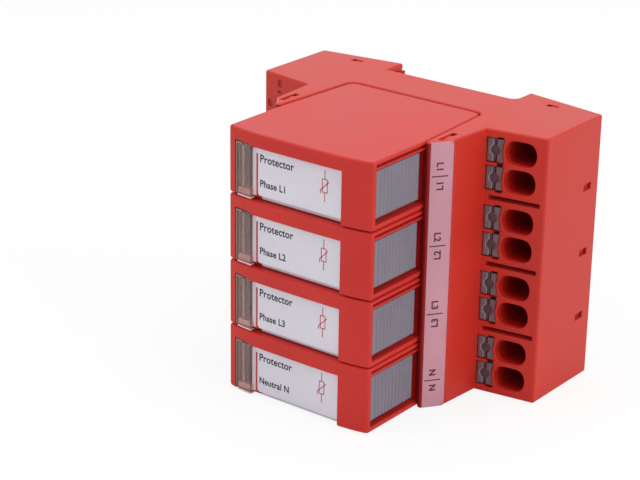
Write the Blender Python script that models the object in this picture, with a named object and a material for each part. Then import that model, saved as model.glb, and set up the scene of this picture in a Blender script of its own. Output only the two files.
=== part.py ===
# DIN rail surge arrester: four plug-in protection modules side by side on one base.
# It stands on its flat side wall, so the rail runs along Z and the modules face -Y.
# Lengths are in metres. A depth is measured forward (-Y) from the rear-most plane.
# Poles are counted from the top of the stack.

import math

import bmesh
import bpy
from mathutils import Matrix, Vector

# Overall sizes
POLE_COUNT = 4
POLE_PITCH = 0.0180
MODULE_WIDTH = 0.0450
OVERALL_DEPTH = 0.0726
FIT_GAP = 0.0003

# Base housing
HOUSING_WALL = 0.0018
END_WALL = 0.0016
EDGE_RADIUS = 0.0007
EDGE_SOFTENING = 0.00035
REAR_TAPER = 0.0037
SHOULDER_OUTER_DEPTH = 0.0296
SHOULDER_INNER_DEPTH = 0.0321
WING_WALL = 0.0055
WING_DRAFT = 0.074
WING_CLEARANCE = 0.0001
WING_SHARE = 0.4568
CHANNEL_FLOOR_DEPTH = 0.0223
CHANNEL_FLOOR_WALL = 0.0017
CHANNEL_DRAFT = 0.0018
CHANNEL_CORNER_RADIUS = 0.0024
POLE_PARTITION = 0.0032

# Rail recess in the back
RECESS_DEPTH = 0.0075
RECESS_LEFT = 0.0203
RECESS_RIGHT = 0.0210
RECESS_FILLET = 0.0020
RAIL_FLANGE_SLOT = 0.0014
HOOK_REACH = 0.0045
HOOK_THICKNESS = 0.0009
HOOK_HEIGHT = 0.0037
LEAD_IN_BEAD = 0.0007

# Marking strips on the wings' slanted faces
STRIP_DROP = 0.0047
WING_LIP = 0.0011
STRIP_SEAT = 0.0009
STRIP_LIP = 0.00045
STRIP_END_WALL = 0.0006

# Slots in the ends of the wings
WING_SLOT_INSET = 0.0012
WING_SLOT_WIDTH = 0.0016
WING_SLOT_SETBACK = 0.0099
WING_SLOT_LENGTH = 0.0066
WING_SLOT_SINK = 0.0080

# Terminals
WIRE_ENTRY_OFFSET = 0.0047
WIRE_ENTRY_RADIUS = 0.0043
WIRE_ENTRY_HEIGHT = 0.0066
WIRE_ENTRY_SQUARENESS = 6
WIRE_ENTRY_PITCH = 0.0075
WIRE_ENTRY_RIM = 0.00095
WIRE_ENTRY_TO_SIDE = 0.0071
PUSHER_INSET = 0.00035
PUSHER_WIDTH = 0.00445
PUSHER_HEIGHT = 0.0060
PUSHER_PITCH = 0.00735
PUSHER_DROP = 0.00015
PUSHER_TAIL_DEPTH = 0.0180
PUSHER_SINK = 0.0003
PUSHER_SLOT_WIDTH = 0.00095
PUSHER_SLOT_SINK = 0.00055
PUSHER_DIMPLE_RADIUS = 0.00135
PUSHER_LINK_START = 0.0026
PUSHER_LINK_SINK = 0.0022
PUSHER_LINK_RISE = 0.0004
EARTH_POLE = 2

# Grooves between the poles on the terminal faces
GROOVE_INSET = 0.0013
GROOVE_TO_SIDE = 0.0014
GROOVE_HEIGHT = 0.00125
GROOVE_SINK = 0.0060

# Narrow blind slots on the earth side, as drops below the pole's top
PROBE_SLOT_TO_SIDE = 0.0059
PROBE_SLOT_WIDTH = 0.0014
PROBE_SLOT_SINK = 0.0011
PROBE_SLOT_DROPS = ((0.0015, 0.0034), (0.0044, 0.0053))
SIDE_NOTCH_TO_SIDE = 0.0022
SIDE_NOTCH_WIDTH = 0.0016
SIDE_NOTCH_DROP = 0.0077
SIDE_NOTCH_HEIGHT = 0.0020

# Rear cover and its latches
COVER_WALL = 0.0018
LATCH_DEPTH = 0.0075
LATCH_WINDOW = 0.0036
LATCH_HEIGHT = 0.0033
LATCH_TAB_WALL = 0.0012
LATCH_NOSE = 0.0013
END_LATCH_TO_SIDE = 0.0135
END_LATCH_WIDTH = 0.0042
END_LATCH_DEPTH = 0.0053
END_LATCH_WINDOW = 0.0017

# Rail foot
FOOT_WIDTH = 0.0114
FOOT_THICKNESS = 0.0022
FOOT_REACH = 0.0052
FOOT_TAIL = 0.0074
FOOT_TRAVEL = 0.0040
FOOT_EYE = 0.0030

# Contacts
BAR_THICKNESS = 0.0015
BAR_HEIGHT = 0.0070
PRONG_THICKNESS = 0.0010
BLADE_X = 0.0110
BLADE_THICKNESS = 0.0010
BLADE_TIP_DEPTH = 0.0125
BLADE_ROOT_RISE = 0.0074
BLADE_FOOT = 0.0060
BACKBONE_WIDTH = 0.0090

# Protection module
FRONT_CROWN = 0.0015
SHELL_WALL = 0.0012
SHELL_SIDE_WALL = 0.0016
SHELL_CORNER_RADIUS = 0.0010
SHELL_SOFTENING = 0.0006
SHELL_FRONT_WALL = 0.0015
MODULE_PLATE = 0.0015
SHELL_BAY_WALL = 0.0010

# Front pocket for the window and the label
POCKET_INSET_LEFT = 0.00245
POCKET_INSET_RIGHT = 0.0086
POCKET_TOP = 0.01425
WINDOW_WIDTH = 0.0053
WINDOW_RISE = 0.00045
WINDOW_PORT_WIDTH = 0.0036
WINDOW_PORT_LOW = 0.0026
LABEL_INSET = 0.0010
LABEL_THICKNESS = 0.0012
LABEL_LIFT = 0.0015
LABEL_CORNER_RADIUS = 0.0007
LABEL_SLIT_INSET = 0.00122
LABEL_SLIT_WIDTH = 0.0006
LABEL_SLIT_TOP = 0.0014
LABEL_STRIP_LIFT = 0.0027

# Release grips
GRIP_FRONT_INSET = 0.0029
GRIP_LENGTH = 0.0175
GRIP_LOW = 0.0033
GRIP_HIGH = 0.0154
GRIP_BAY_LOW = 0.0016
GRIP_BAY_HIGH = 0.0170
GRIP_BAY_SINK = 0.0028
GRIP_BAY_TAIL = 0.0032
GRIP_SHELF = 0.00055
GRIP_GROOVE_SINK = 0.0017
GRIP_PLATE = 0.0013
GRIP_INSET = 0.0002
GRIP_RIB_COUNT = 12
GRIP_RIB_SINK = 0.00015
GRIP_ARM_LENGTH = 0.0070
GRIP_ARM_THICKNESS = 0.0016
GRIP_ARM_REACH = 0.0032

# Varistor and status flag
VARISTOR_SIDE_ROOM = 0.0022
VARISTOR_FRONT_ROOM = 0.0083
VARISTOR_THICKNESS = 0.0060
VARISTOR_CORNER = 0.0040
VARISTOR_EDGE = 0.0008
FLAG_THICKNESS = 0.0008
FLAG_HEIGHT = 0.0100
FLAG_WIDTH = 0.0032

# Values that follow from the sizes above
STACK_HEIGHT = POLE_COUNT * POLE_PITCH
POLE_MIDDLE = POLE_PITCH / 2
MODULE_HALF = MODULE_WIDTH / 2
MODULE_REAR_DEPTH = CHANNEL_FLOOR_DEPTH + FIT_GAP
MODULE_LOW = FIT_GAP / 2
MODULE_HIGH = POLE_PITCH - FIT_GAP / 2
CHANNEL_HALF = MODULE_HALF + FIT_GAP + WING_CLEARANCE
CHANNEL_FLOOR_HALF = CHANNEL_HALF - CHANNEL_DRAFT
WING_DEPTH = SHOULDER_INNER_DEPTH + WING_SHARE * (OVERALL_DEPTH - SHOULDER_INNER_DEPTH)
WING_SLOT_X = CHANNEL_HALF + WING_SLOT_INSET
WING_SLOT_START = WING_DEPTH - WING_SLOT_SETBACK
NECK_HALF_WIDTH = CHANNEL_HALF + WING_WALL
PUSHER_X = NECK_HALF_WIDTH + PUSHER_INSET
PUSHER_LINK_X = PUSHER_X + PUSHER_LINK_START
WIRE_ENTRY_X = PUSHER_X + PUSHER_WIDTH + WIRE_ENTRY_OFFSET
HALF_WIDTH = WIRE_ENTRY_X + WIRE_ENTRY_TO_SIDE
GROOVE_START = NECK_HALF_WIDTH + GROOVE_INSET
GROOVE_END = HALF_WIDTH - GROOVE_TO_SIDE
PROBE_SLOT_X = HALF_WIDTH - PROBE_SLOT_TO_SIDE
SIDE_NOTCH_X = HALF_WIDTH - SIDE_NOTCH_TO_SIDE
END_LATCH_X = HALF_WIDTH - END_LATCH_TO_SIDE
COVER_INNER_DEPTH = RECESS_DEPTH + COVER_WALL
BAR_DEPTH = COVER_INNER_DEPTH + FIT_GAP
CAVITY_DEPTH = CHANNEL_FLOOR_DEPTH - CHANNEL_FLOOR_WALL
CAVITY_HALF = HALF_WIDTH - HOUSING_WALL
BACKBONE_RIGHT = BLADE_X + BLADE_THICKNESS / 2 + FIT_GAP + PRONG_THICKNESS / 2
EARTH_CAVITY = BACKBONE_RIGHT + BACKBONE_WIDTH + 2 * FIT_GAP
POCKET_LEFT = MODULE_HALF - POCKET_INSET_LEFT
POCKET_RIGHT = MODULE_HALF - POCKET_INSET_RIGHT
LABEL_DEPTH = OVERALL_DEPTH - LABEL_INSET
POCKET_FLOOR_DEPTH = LABEL_DEPTH - LABEL_THICKNESS - FIT_GAP
SHELL_FRONT_DEPTH = POCKET_FLOOR_DEPTH - SHELL_FRONT_WALL
GRIP_FRONT_DEPTH = OVERALL_DEPTH - GRIP_FRONT_INSET
GRIP_REAR_DEPTH = GRIP_FRONT_DEPTH - GRIP_LENGTH
GRIP_BAY_X = MODULE_HALF - GRIP_BAY_SINK
GRIP_BAY_REAR = GRIP_REAR_DEPTH - GRIP_BAY_TAIL
SHELL_INNER_HALF = GRIP_BAY_X - SHELL_BAY_WALL
VARISTOR_HALF = SHELL_INNER_HALF - VARISTOR_SIDE_ROOM
BLADE_ROOT_DEPTH = MODULE_REAR_DEPTH + BLADE_ROOT_RISE
VARISTOR_REAR_DEPTH = BLADE_ROOT_DEPTH + FIT_GAP
VARISTOR_FRONT_DEPTH = SHELL_FRONT_DEPTH - VARISTOR_FRONT_ROOM
PAST = 0.0020


def y_at(depth):
    return OVERALL_DEPTH / 2 - depth


def plan(points):
    """Turn (x, depth) points into (x, y) points."""
    return [(x, y_at(depth)) for x, depth in points]


def mirrored(points):
    return [(-x, other) for x, other in reversed(points)]


def rear_depth(x, inner):
    """Depth of the slanted rear face at a distance x from the middle."""
    return REAR_TAPER * max(0.0, (abs(x) - inner) / (HALF_WIDTH - inner))


def face_depth(x):
    """Depth of the slanted terminal face."""
    share = (abs(x) - NECK_HALF_WIDTH) / (HALF_WIDTH - NECK_HALF_WIDTH)
    return SHOULDER_INNER_DEPTH + (SHOULDER_OUTER_DEPTH - SHOULDER_INNER_DEPTH) * share


def front_depth(x):
    """Depth of the modules' crowned front."""
    return OVERALL_DEPTH - FRONT_CROWN * abs(x / MODULE_HALF) ** 4


def pole_floor(pole):
    return (POLE_COUNT - pole) * POLE_PITCH


def box_outline(x_low, x_high, other_low, other_high):
    return [(x_low, other_low), (x_high, other_low), (x_high, other_high), (x_low, other_high)]


def rounded(corners, steps=3):
    """Replace each ((x, y), radius) corner by an arc of that radius."""
    outline = []
    count = len(corners)
    for index, (point, radius) in enumerate(corners):
        here = Vector(point)
        before = (Vector(corners[index - 1][0]) - here).normalized()
        after = (Vector(corners[(index + 1) % count][0]) - here).normalized()
        if radius <= 0:
            outline.append(tuple(here))
            continue
        half_angle = before.angle(after) / 2
        reach = radius / math.tan(half_angle)
        centre = here + (before + after).normalized() * (radius / math.sin(half_angle))
        start = here + before * reach - centre
        end = here + after * reach - centre
        turn = math.atan2(start.x * end.y - start.y * end.x, start.dot(end))
        for step in range(steps + 1):
            outline.append(tuple(centre + Matrix.Rotation(turn * step / steps, 2) @ start))
    return outline


def prism(outline, low, high, along="Z", softening=0.0, segments=1):
    """Closed prism over an outline; along Y the outline's second value is a height."""
    body = bmesh.new()
    rings = []
    for level in (low, high):
        if along == "Z":
            ring = [body.verts.new((x, other, level)) for x, other in outline]
        elif along == "Y":
            ring = [body.verts.new((x, level, other)) for x, other in outline]
        else:
            ring = [body.verts.new((level, x, other)) for x, other in outline]
        rings.append(ring)
    caps = [body.faces.new(ring) for ring in rings]
    count = len(outline)
    for index in range(count):
        following = (index + 1) % count
        body.faces.new((rings[0][index], rings[0][following], rings[1][following], rings[1][index]))
    bmesh.ops.recalc_face_normals(body, faces=body.faces)
    if softening > 0:
        rim = {edge for cap in caps for edge in cap.edges}
        bmesh.ops.bevel(body, geom=list(rim), offset=softening, segments=segments, affect="EDGES",
                        profile=0.5, clamp_overlap=True)
    return body


def block(x_low, x_high, y_low, y_high, z_low, z_high):
    return prism(box_outline(x_low, x_high, y_low, y_high), z_low, z_high)


def depth_block(x_low, x_high, depth_low, depth_high, z_low, z_high):
    return block(x_low, x_high, y_at(depth_high), y_at(depth_low), z_low, z_high)


def joined(parts):
    """Put separate closed forms into one bmesh."""
    whole = bmesh.new()
    for part in parts:
        mesh = bpy.data.meshes.new("form")
        part.to_mesh(mesh)
        part.free()
        whole.from_mesh(mesh)
        bpy.data.meshes.remove(mesh)
    return whole


def moved(form, x=0.0, y=0.0, z=0.0):
    bmesh.ops.translate(form, verts=form.verts, vec=(x, y, z))
    return form


def flipped(form):
    """Mirror a form to the other side of the middle plane."""
    bmesh.ops.scale(form, verts=form.verts, vec=(-1, 1, 1))
    bmesh.ops.reverse_faces(form, faces=form.faces)
    return form


def form_object(name, form):
    mesh = bpy.data.meshes.new(name)
    form.to_mesh(mesh)
    form.free()
    holder = bpy.data.objects.new(name, mesh)
    bpy.context.scene.collection.objects.link(holder)
    return holder


def combine(form, tools, operation="DIFFERENCE"):
    """Run a chain of exact Booleans and give back the result as a bmesh."""
    holder = form_object("form", form)
    tool_objects = []
    for tool in tools:
        tool_object = form_object("tool", tool)
        tool_object.hide_render = True
        tool_object.display_type = "WIRE"
        change = holder.modifiers.new("Change", "BOOLEAN")
        change.operation = operation
        change.solver = "EXACT"
        change.object = tool_object
        tool_objects.append(tool_object)
    graph = bpy.context.evaluated_depsgraph_get()
    result = bpy.data.meshes.new_from_object(holder.evaluated_get(graph))
    for used in [holder] + tool_objects:
        mesh = used.data
        bpy.data.objects.remove(used)
        bpy.data.meshes.remove(mesh)
    outcome = bmesh.new()
    outcome.from_mesh(result)
    bpy.data.meshes.remove(result)
    bmesh.ops.remove_doubles(outcome, verts=outcome.verts, dist=0.00002)
    return outcome


def to_linear(value):
    return value / 12.92 if value <= 0.04045 else ((value + 0.055) / 1.055) ** 2.4


def plastic(name, colour, roughness, metallic=0.0, alpha=1.0):
    material = bpy.data.materials.new(name)
    material.use_nodes = True
    shader = material.node_tree.nodes["Principled BSDF"]
    channels = [to_linear(int(colour[start:start + 2], 16) / 255) for start in (0, 2, 4)]
    shader.inputs["Base Color"].default_value = (*channels, 1.0)
    shader.inputs["Roughness"].default_value = roughness
    shader.inputs["Metallic"].default_value = metallic
    shader.inputs["Alpha"].default_value = alpha
    return material


def place(name, mesh, parent, location, material_name):
    """Add a named piece whose mesh is modelled about its own origin."""
    piece = bpy.data.objects.new(name, mesh)
    bpy.context.scene.collection.objects.link(piece)
    piece.parent = parent
    piece.location = location
    if not mesh.materials:
        mesh.materials.append(MATERIALS[material_name])
    return piece


def finished(name, form, origin=(0.0, 0.0, 0.0)):
    """Make the mesh of a form, modelled in place, about the given origin."""
    bmesh.ops.translate(form, verts=form.verts, vec=(-origin[0], -origin[1], -origin[2]))
    mesh = bpy.data.meshes.new(name)
    form.to_mesh(mesh)
    form.free()
    mesh.shade_smooth()
    mesh.set_sharp_from_angle(angle=math.radians(35))
    return mesh


def frame_empty(name, location):
    empty = bpy.data.objects.new(name, None)
    bpy.context.scene.collection.objects.link(empty)
    empty.location = location
    return empty


# Base housing

def strip_lines():
    """Corner points of the slanted face and its seat, as (x, depth) vectors."""
    start_depth = WING_DEPTH - STRIP_DROP
    drawn_in = WING_DRAFT * (start_depth - SHOULDER_INNER_DEPTH)
    rear = Vector((NECK_HALF_WIDTH - drawn_in, start_depth))
    front = Vector((CHANNEL_HALF + WING_LIP, WING_DEPTH))
    along = (front - rear).normalized()
    outward = Vector((along.y, -along.x))
    return rear, front, along, outward


def on_neck(rear, along, outward, sink):
    """Where a line parallel to the slanted face, sunk by sink, meets the neck wall."""
    wall = rear - Vector((NECK_HALF_WIDTH, SHOULDER_INNER_DEPTH))
    offset = outward * sink
    share = (offset.x * wall.y - offset.y * wall.x) / (along.x * wall.y - along.y * wall.x)
    return rear - offset + along * share


def strip_seat_cuts():
    """Shallow seats for the marking strips, closed at both ends of the stack."""
    rear, front, along, outward = strip_lines()
    lip = front - along * STRIP_LIP
    start = rear - along * PAST * 2
    points = [tuple(lip + outward * PAST), tuple(lip - outward * STRIP_SEAT),
              tuple(start - outward * STRIP_SEAT), tuple(start + outward * PAST)]
    outline = plan(points)
    top = STACK_HEIGHT - STRIP_END_WALL
    return [prism(side, STRIP_END_WALL, top) for side in (outline, mirrored(outline))]


def housing_outline():
    rear, front, along, outward = strip_lines()
    side = [
        ((HALF_WIDTH, REAR_TAPER), EDGE_RADIUS),
        ((HALF_WIDTH, SHOULDER_OUTER_DEPTH), EDGE_RADIUS),
        ((NECK_HALF_WIDTH, SHOULDER_INNER_DEPTH), 0.0),
        (tuple(rear), 0.0),
        (tuple(front), EDGE_RADIUS / 2),
        ((CHANNEL_HALF, WING_DEPTH), EDGE_RADIUS),
        ((CHANNEL_FLOOR_HALF, CHANNEL_FLOOR_DEPTH), CHANNEL_CORNER_RADIUS),
    ]
    other_side = [((-x, depth), radius) for (x, depth), radius in reversed(side)]
    back = [
        ((-RECESS_LEFT, 0.0), EDGE_RADIUS / 2),
        ((-RECESS_LEFT, RECESS_DEPTH), 0.0),
        ((RECESS_RIGHT, RECESS_DEPTH), RECESS_FILLET),
        ((RECESS_RIGHT, 0.0), EDGE_RADIUS / 2),
    ]
    corners = side + other_side + back
    return rounded([((x, y_at(depth)), radius) for (x, depth), radius in corners])


def cover_path(sink, side_gap):
    """Inner side of the rear cover, as (x, depth) points from left to right."""
    edge = CAVITY_HALF - side_gap
    left = RECESS_LEFT + sink
    right = RECESS_RIGHT + sink
    return [
        (-edge, rear_depth(edge, RECESS_LEFT) + sink),
        (-left, sink),
        (-left, RECESS_DEPTH + sink),
        (right, RECESS_DEPTH + sink),
        (right, sink),
        (edge, rear_depth(edge, RECESS_RIGHT) + sink),
    ]


def cover_pocket():
    inner = cover_path(COVER_WALL + FIT_GAP, 0.0)
    outline = inner + [(CAVITY_HALF, -PAST), (-CAVITY_HALF, -PAST)]
    return prism(plan(outline), END_WALL, STACK_HEIGHT - END_WALL)


def pole_cavities():
    cavities = []
    for pole in range(1, POLE_COUNT + 1):
        floor = pole_floor(pole)
        low = floor + (END_WALL if pole == POLE_COUNT else POLE_PARTITION / 2)
        high = floor + POLE_PITCH - (END_WALL if pole == 1 else POLE_PARTITION / 2)
        left = CAVITY_HALF if pole == EARTH_POLE else EARTH_CAVITY
        cavities.append(depth_block(-left, CAVITY_HALF, COVER_WALL, CAVITY_DEPTH, low, high))
    return joined(cavities)


def wire_entry_outline():
    """Round entry flattened above and below, about its own middle."""
    limit = WIRE_ENTRY_HEIGHT / 2
    power = WIRE_ENTRY_SQUARENESS
    steps = 24
    outline = []
    for step in range(steps):
        angle = 2 * math.pi * (step + 0.5) / steps
        height = WIRE_ENTRY_RADIUS * math.sin(angle)
        shrink = (1 + (abs(height) / limit) ** power) ** (1 / power)
        outline.append((WIRE_ENTRY_RADIUS * math.cos(angle), height / shrink))
    return outline


def pusher_outline(growth=0.0):
    """Release pusher seen from the front: its side by the wire entry is hollowed to clear it."""
    left = PUSHER_X - growth
    half_height = PUSHER_HEIGHT / 2 + growth
    keep_off = WIRE_ENTRY_RADIUS + WIRE_ENTRY_RIM - growth
    right_limit = PUSHER_X + PUSHER_WIDTH + growth
    steps = 4
    hollow = []
    for step in range(steps + 1):
        height = half_height * (2 * step / steps - 1)
        reach = WIRE_ENTRY_X - math.sqrt(max(0.0, keep_off ** 2 - height ** 2))
        hollow.append((min(right_limit, reach), height))
    return [(left, -half_height)] + hollow + [(left, half_height)]


def entry_heights(pole):
    middle = pole_floor(pole) + POLE_MIDDLE
    return (middle + WIRE_ENTRY_PITCH / 2, middle - WIRE_ENTRY_PITCH / 2)


def pusher_heights(pole):
    middle = pole_floor(pole) + POLE_MIDDLE - PUSHER_DROP
    return (middle + PUSHER_PITCH / 2, middle - PUSHER_PITCH / 2)


def terminal_cuts(pole):
    """Wire entries, pusher wells and the gaps at the wells' ends, on the right side."""
    front = y_at(SHOULDER_INNER_DEPTH + PAST)
    back = y_at(CAVITY_DEPTH - PAST)
    entries = []
    wells = []
    for height in entry_heights(pole):
        entries.append(prism([(WIRE_ENTRY_X + x, height + z) for x, z in wire_entry_outline()],
                             front, back, "Y"))
    for height in pusher_heights(pole):
        wells.append(prism([(x, height + z) for x, z in pusher_outline(FIT_GAP)], front, back, "Y"))
    middle = pole_floor(pole) + POLE_MIDDLE - PUSHER_DROP
    reach = (PUSHER_PITCH + PUSHER_HEIGHT) / 2 + FIT_GAP
    edge = PUSHER_X + PUSHER_WIDTH
    floor = SHOULDER_INNER_DEPTH - PUSHER_LINK_SINK
    spans = ((-reach - PUSHER_LINK_RISE, FIT_GAP - reach), (PUSHER_HEIGHT - reach, reach - PUSHER_HEIGHT),
             (reach - FIT_GAP, reach + PUSHER_LINK_RISE))
    front = SHOULDER_INNER_DEPTH + PAST
    links = [depth_block(PUSHER_LINK_X, edge, floor, front, middle + low, middle + high)
             for low, high in spans]
    return entries + wells, joined(links)


def groove_cuts():
    grooves = []
    for pole in range(1, POLE_COUNT):
        height = pole_floor(pole)
        for side in (-1, 1):
            ends = sorted((side * GROOVE_START, side * GROOVE_END))
            grooves.append(depth_block(ends[0], ends[1], SHOULDER_OUTER_DEPTH - GROOVE_SINK,
                                       SHOULDER_INNER_DEPTH + PAST, height - GROOVE_HEIGHT / 2,
                                       height + GROOVE_HEIGHT / 2))
    return grooves


def probe_slot_cuts():
    """Narrow blind slots on the earth side of the poles that have no entry there."""
    slots = []
    front = SHOULDER_INNER_DEPTH + PAST
    for pole in range(1, POLE_COUNT + 1):
        if pole == EARTH_POLE:
            continue
        top = pole_floor(pole) + POLE_PITCH
        floor = face_depth(PROBE_SLOT_X) - PROBE_SLOT_SINK
        for start, end in PROBE_SLOT_DROPS:
            slots.append(depth_block(-PROBE_SLOT_X - PROBE_SLOT_WIDTH / 2,
                                     -PROBE_SLOT_X + PROBE_SLOT_WIDTH / 2, floor,
                                     front, top - end, top - start))
        slots.append(depth_block(-SIDE_NOTCH_X - SIDE_NOTCH_WIDTH / 2, -SIDE_NOTCH_X + SIDE_NOTCH_WIDTH / 2,
                                 face_depth(SIDE_NOTCH_X) - PROBE_SLOT_SINK, front,
                                 top - SIDE_NOTCH_DROP - SIDE_NOTCH_HEIGHT, top - SIDE_NOTCH_DROP))
    return slots


def wing_slot_cuts():
    slots = []
    for side in (-1, 1):
        ends = sorted((side * WING_SLOT_X, side * (WING_SLOT_X + WING_SLOT_WIDTH)))
        for low, high in ((-PAST, WING_SLOT_SINK), (STACK_HEIGHT - WING_SLOT_SINK, STACK_HEIGHT + PAST)):
            slots.append(depth_block(ends[0], ends[1], WING_SLOT_START,
                                     WING_SLOT_START + WING_SLOT_LENGTH, low, high))
    return slots


def blade_slot_cuts():
    """Slots in the channel floor where the modules' blades go through."""
    slots = []
    half = BLADE_THICKNESS / 2 + FIT_GAP
    half_height = BAR_HEIGHT / 2 + FIT_GAP
    for pole in range(1, POLE_COUNT + 1):
        middle = pole_floor(pole) + POLE_MIDDLE
        for side in (-1, 1):
            slots.append(depth_block(side * BLADE_X - half, side * BLADE_X + half, CAVITY_DEPTH - PAST,
                                     CHANNEL_FLOOR_DEPTH + PAST, middle - half_height, middle + half_height))
    return slots


def latch_heights():
    return [pole_floor(pole) for pole in range(1, POLE_COUNT)]


def latch_window_cuts():
    windows = []
    rooms = []
    half = LATCH_HEIGHT / 2
    room_half = half + FIT_GAP + 0.0003
    room_depth = LATCH_DEPTH + LATCH_WINDOW + 2 * FIT_GAP
    for height in latch_heights():
        for side in (-1, 1):
            ends = sorted((side * (CAVITY_HALF - 0.0001), side * (HALF_WIDTH + PAST)))
            windows.append(depth_block(ends[0], ends[1], LATCH_DEPTH, LATCH_DEPTH + LATCH_WINDOW,
                                       height - half, height + half))
            inner = CAVITY_HALF - LATCH_TAB_WALL - 3 * FIT_GAP
            ends = sorted((side * inner, side * CAVITY_HALF))
            rooms.append(depth_block(ends[0], ends[1], COVER_WALL, room_depth,
                                     height - room_half, height + room_half))
    for side in (-1, 1):
        latch_half = END_LATCH_WIDTH / 2
        ends = sorted((side * (END_LATCH_X - latch_half), side * (END_LATCH_X + latch_half)))
        through = END_WALL + 0.0001
        for low, high in ((-PAST, through), (STACK_HEIGHT - through, STACK_HEIGHT + PAST)):
            windows.append(depth_block(ends[0], ends[1], END_LATCH_DEPTH,
                                       END_LATCH_DEPTH + END_LATCH_WINDOW, low, high))
        inner = END_WALL + LATCH_TAB_WALL + 3 * FIT_GAP
        for low, high in ((END_WALL, inner), (STACK_HEIGHT - inner, STACK_HEIGHT - END_WALL)):
            rooms.append(depth_block(ends[0], ends[1], COVER_WALL,
                                     END_LATCH_DEPTH + END_LATCH_WINDOW + FIT_GAP, low, high))
    return joined(windows), joined(rooms)


def backbone_cut():
    """Way for the earth bar's backbone through the partitions."""
    return depth_block(-EARTH_CAVITY, FIT_GAP - BACKBONE_RIGHT, COVER_INNER_DEPTH,
                       BAR_DEPTH + BAR_THICKNESS + FIT_GAP, POLE_MIDDLE, STACK_HEIGHT - POLE_MIDDLE)


def foot_room_cut():
    middle = STACK_HEIGHT / 2
    half = FOOT_WIDTH / 2 + FIT_GAP
    depth = RECESS_DEPTH - RAIL_FLANGE_SLOT + FIT_GAP
    return depth_block(RECESS_RIGHT + COVER_WALL, RECESS_RIGHT + FOOT_TAIL + FOOT_TRAVEL + FIT_GAP,
                       COVER_WALL, depth, middle - half, middle + half)


def make_base_housing():
    body = prism(housing_outline(), 0.0, STACK_HEIGHT, softening=EDGE_SOFTENING)
    windows, rooms = latch_window_cuts()
    tunnels = []
    links = []
    for pole in range(1, POLE_COUNT + 1):
        cuts, link = terminal_cuts(pole)
        tunnels += cuts
        links.append(link)
    earth_cuts, earth_link = terminal_cuts(EARTH_POLE)
    tunnels += [flipped(cut) for cut in earth_cuts]
    links.append(flipped(earth_link))
    small = joined(groove_cuts() + wing_slot_cuts() + blade_slot_cuts())
    shallow = joined(probe_slot_cuts())
    body = combine(body, [shallow, cover_pocket(), pole_cavities(), joined(tunnels), joined(links), small,
                          joined(strip_seat_cuts()), rooms, windows, backbone_cut(), foot_room_cut()])
    return finished("base_housing", body)


# Rear cover, rail foot and marking strips

def cover_outline():
    inner = cover_path(COVER_WALL, FIT_GAP)
    edge = CAVITY_HALF - FIT_GAP
    lip_front = RECESS_DEPTH - RAIL_FLANGE_SLOT
    tip = RECESS_LEFT - HOOK_REACH
    outer = [
        (edge, rear_depth(edge, RECESS_RIGHT)),
        (RECESS_RIGHT, 0.0),
        (RECESS_RIGHT, RECESS_DEPTH - RECESS_FILLET),
        (RECESS_RIGHT - RECESS_FILLET, RECESS_DEPTH),
        (-RECESS_LEFT, RECESS_DEPTH),
        (-RECESS_LEFT, lip_front),
        (-tip, lip_front),
        (-tip, lip_front - HOOK_THICKNESS),
        (-RECESS_LEFT + HOOK_REACH / 3, lip_front - HOOK_HEIGHT),
        (-RECESS_LEFT, lip_front - HOOK_HEIGHT),
        (-RECESS_LEFT, LEAD_IN_BEAD * 2),
        (-RECESS_LEFT + LEAD_IN_BEAD, LEAD_IN_BEAD),
        (-RECESS_LEFT + LEAD_IN_BEAD, 0.0),
        (-RECESS_LEFT, 0.0),
        (-edge, rear_depth(edge, RECESS_LEFT)),
    ]
    return plan(inner + outer)


def latch_tabs():
    """Springy tabs with noses that snap into the housing's windows."""
    tabs = []
    edge = CAVITY_HALF - FIT_GAP
    start = rear_depth(edge, RECESS_LEFT) + COVER_WALL / 2
    nose_end = LATCH_DEPTH + LATCH_WINDOW - FIT_GAP
    nose = [(edge - LATCH_TAB_WALL, start), (edge, start), (edge, LATCH_DEPTH + FIT_GAP),
            (edge + LATCH_NOSE, LATCH_DEPTH + FIT_GAP), (edge, nose_end), (edge - LATCH_TAB_WALL, nose_end)]
    half = LATCH_HEIGHT / 2 - FIT_GAP
    for height in latch_heights():
        for outline in (plan(nose), mirrored(plan(nose))):
            tabs.append(prism(outline, height - half, height + half))
    tab_top = STACK_HEIGHT - END_WALL - FIT_GAP
    tab_start = rear_depth(END_LATCH_X, RECESS_LEFT) + COVER_WALL / 2
    tab_end = END_LATCH_DEPTH + END_LATCH_WINDOW - FIT_GAP
    profile = [(y_at(tab_start), tab_top - LATCH_TAB_WALL), (y_at(tab_start), tab_top),
               (y_at(END_LATCH_DEPTH + FIT_GAP), tab_top),
               (y_at(END_LATCH_DEPTH + FIT_GAP), tab_top + LATCH_NOSE),
               (y_at(tab_end), tab_top), (y_at(tab_end), tab_top - LATCH_TAB_WALL)]
    half_width = END_LATCH_WIDTH / 2 - FIT_GAP
    for side in (-1, 1):
        ends = sorted((side * END_LATCH_X - half_width, side * END_LATCH_X + half_width))
        tabs.append(prism(profile, ends[0], ends[1], "X"))
        tabs.append(prism([(y, STACK_HEIGHT - z) for y, z in profile], ends[0], ends[1], "X"))
    return joined(tabs)


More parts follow.
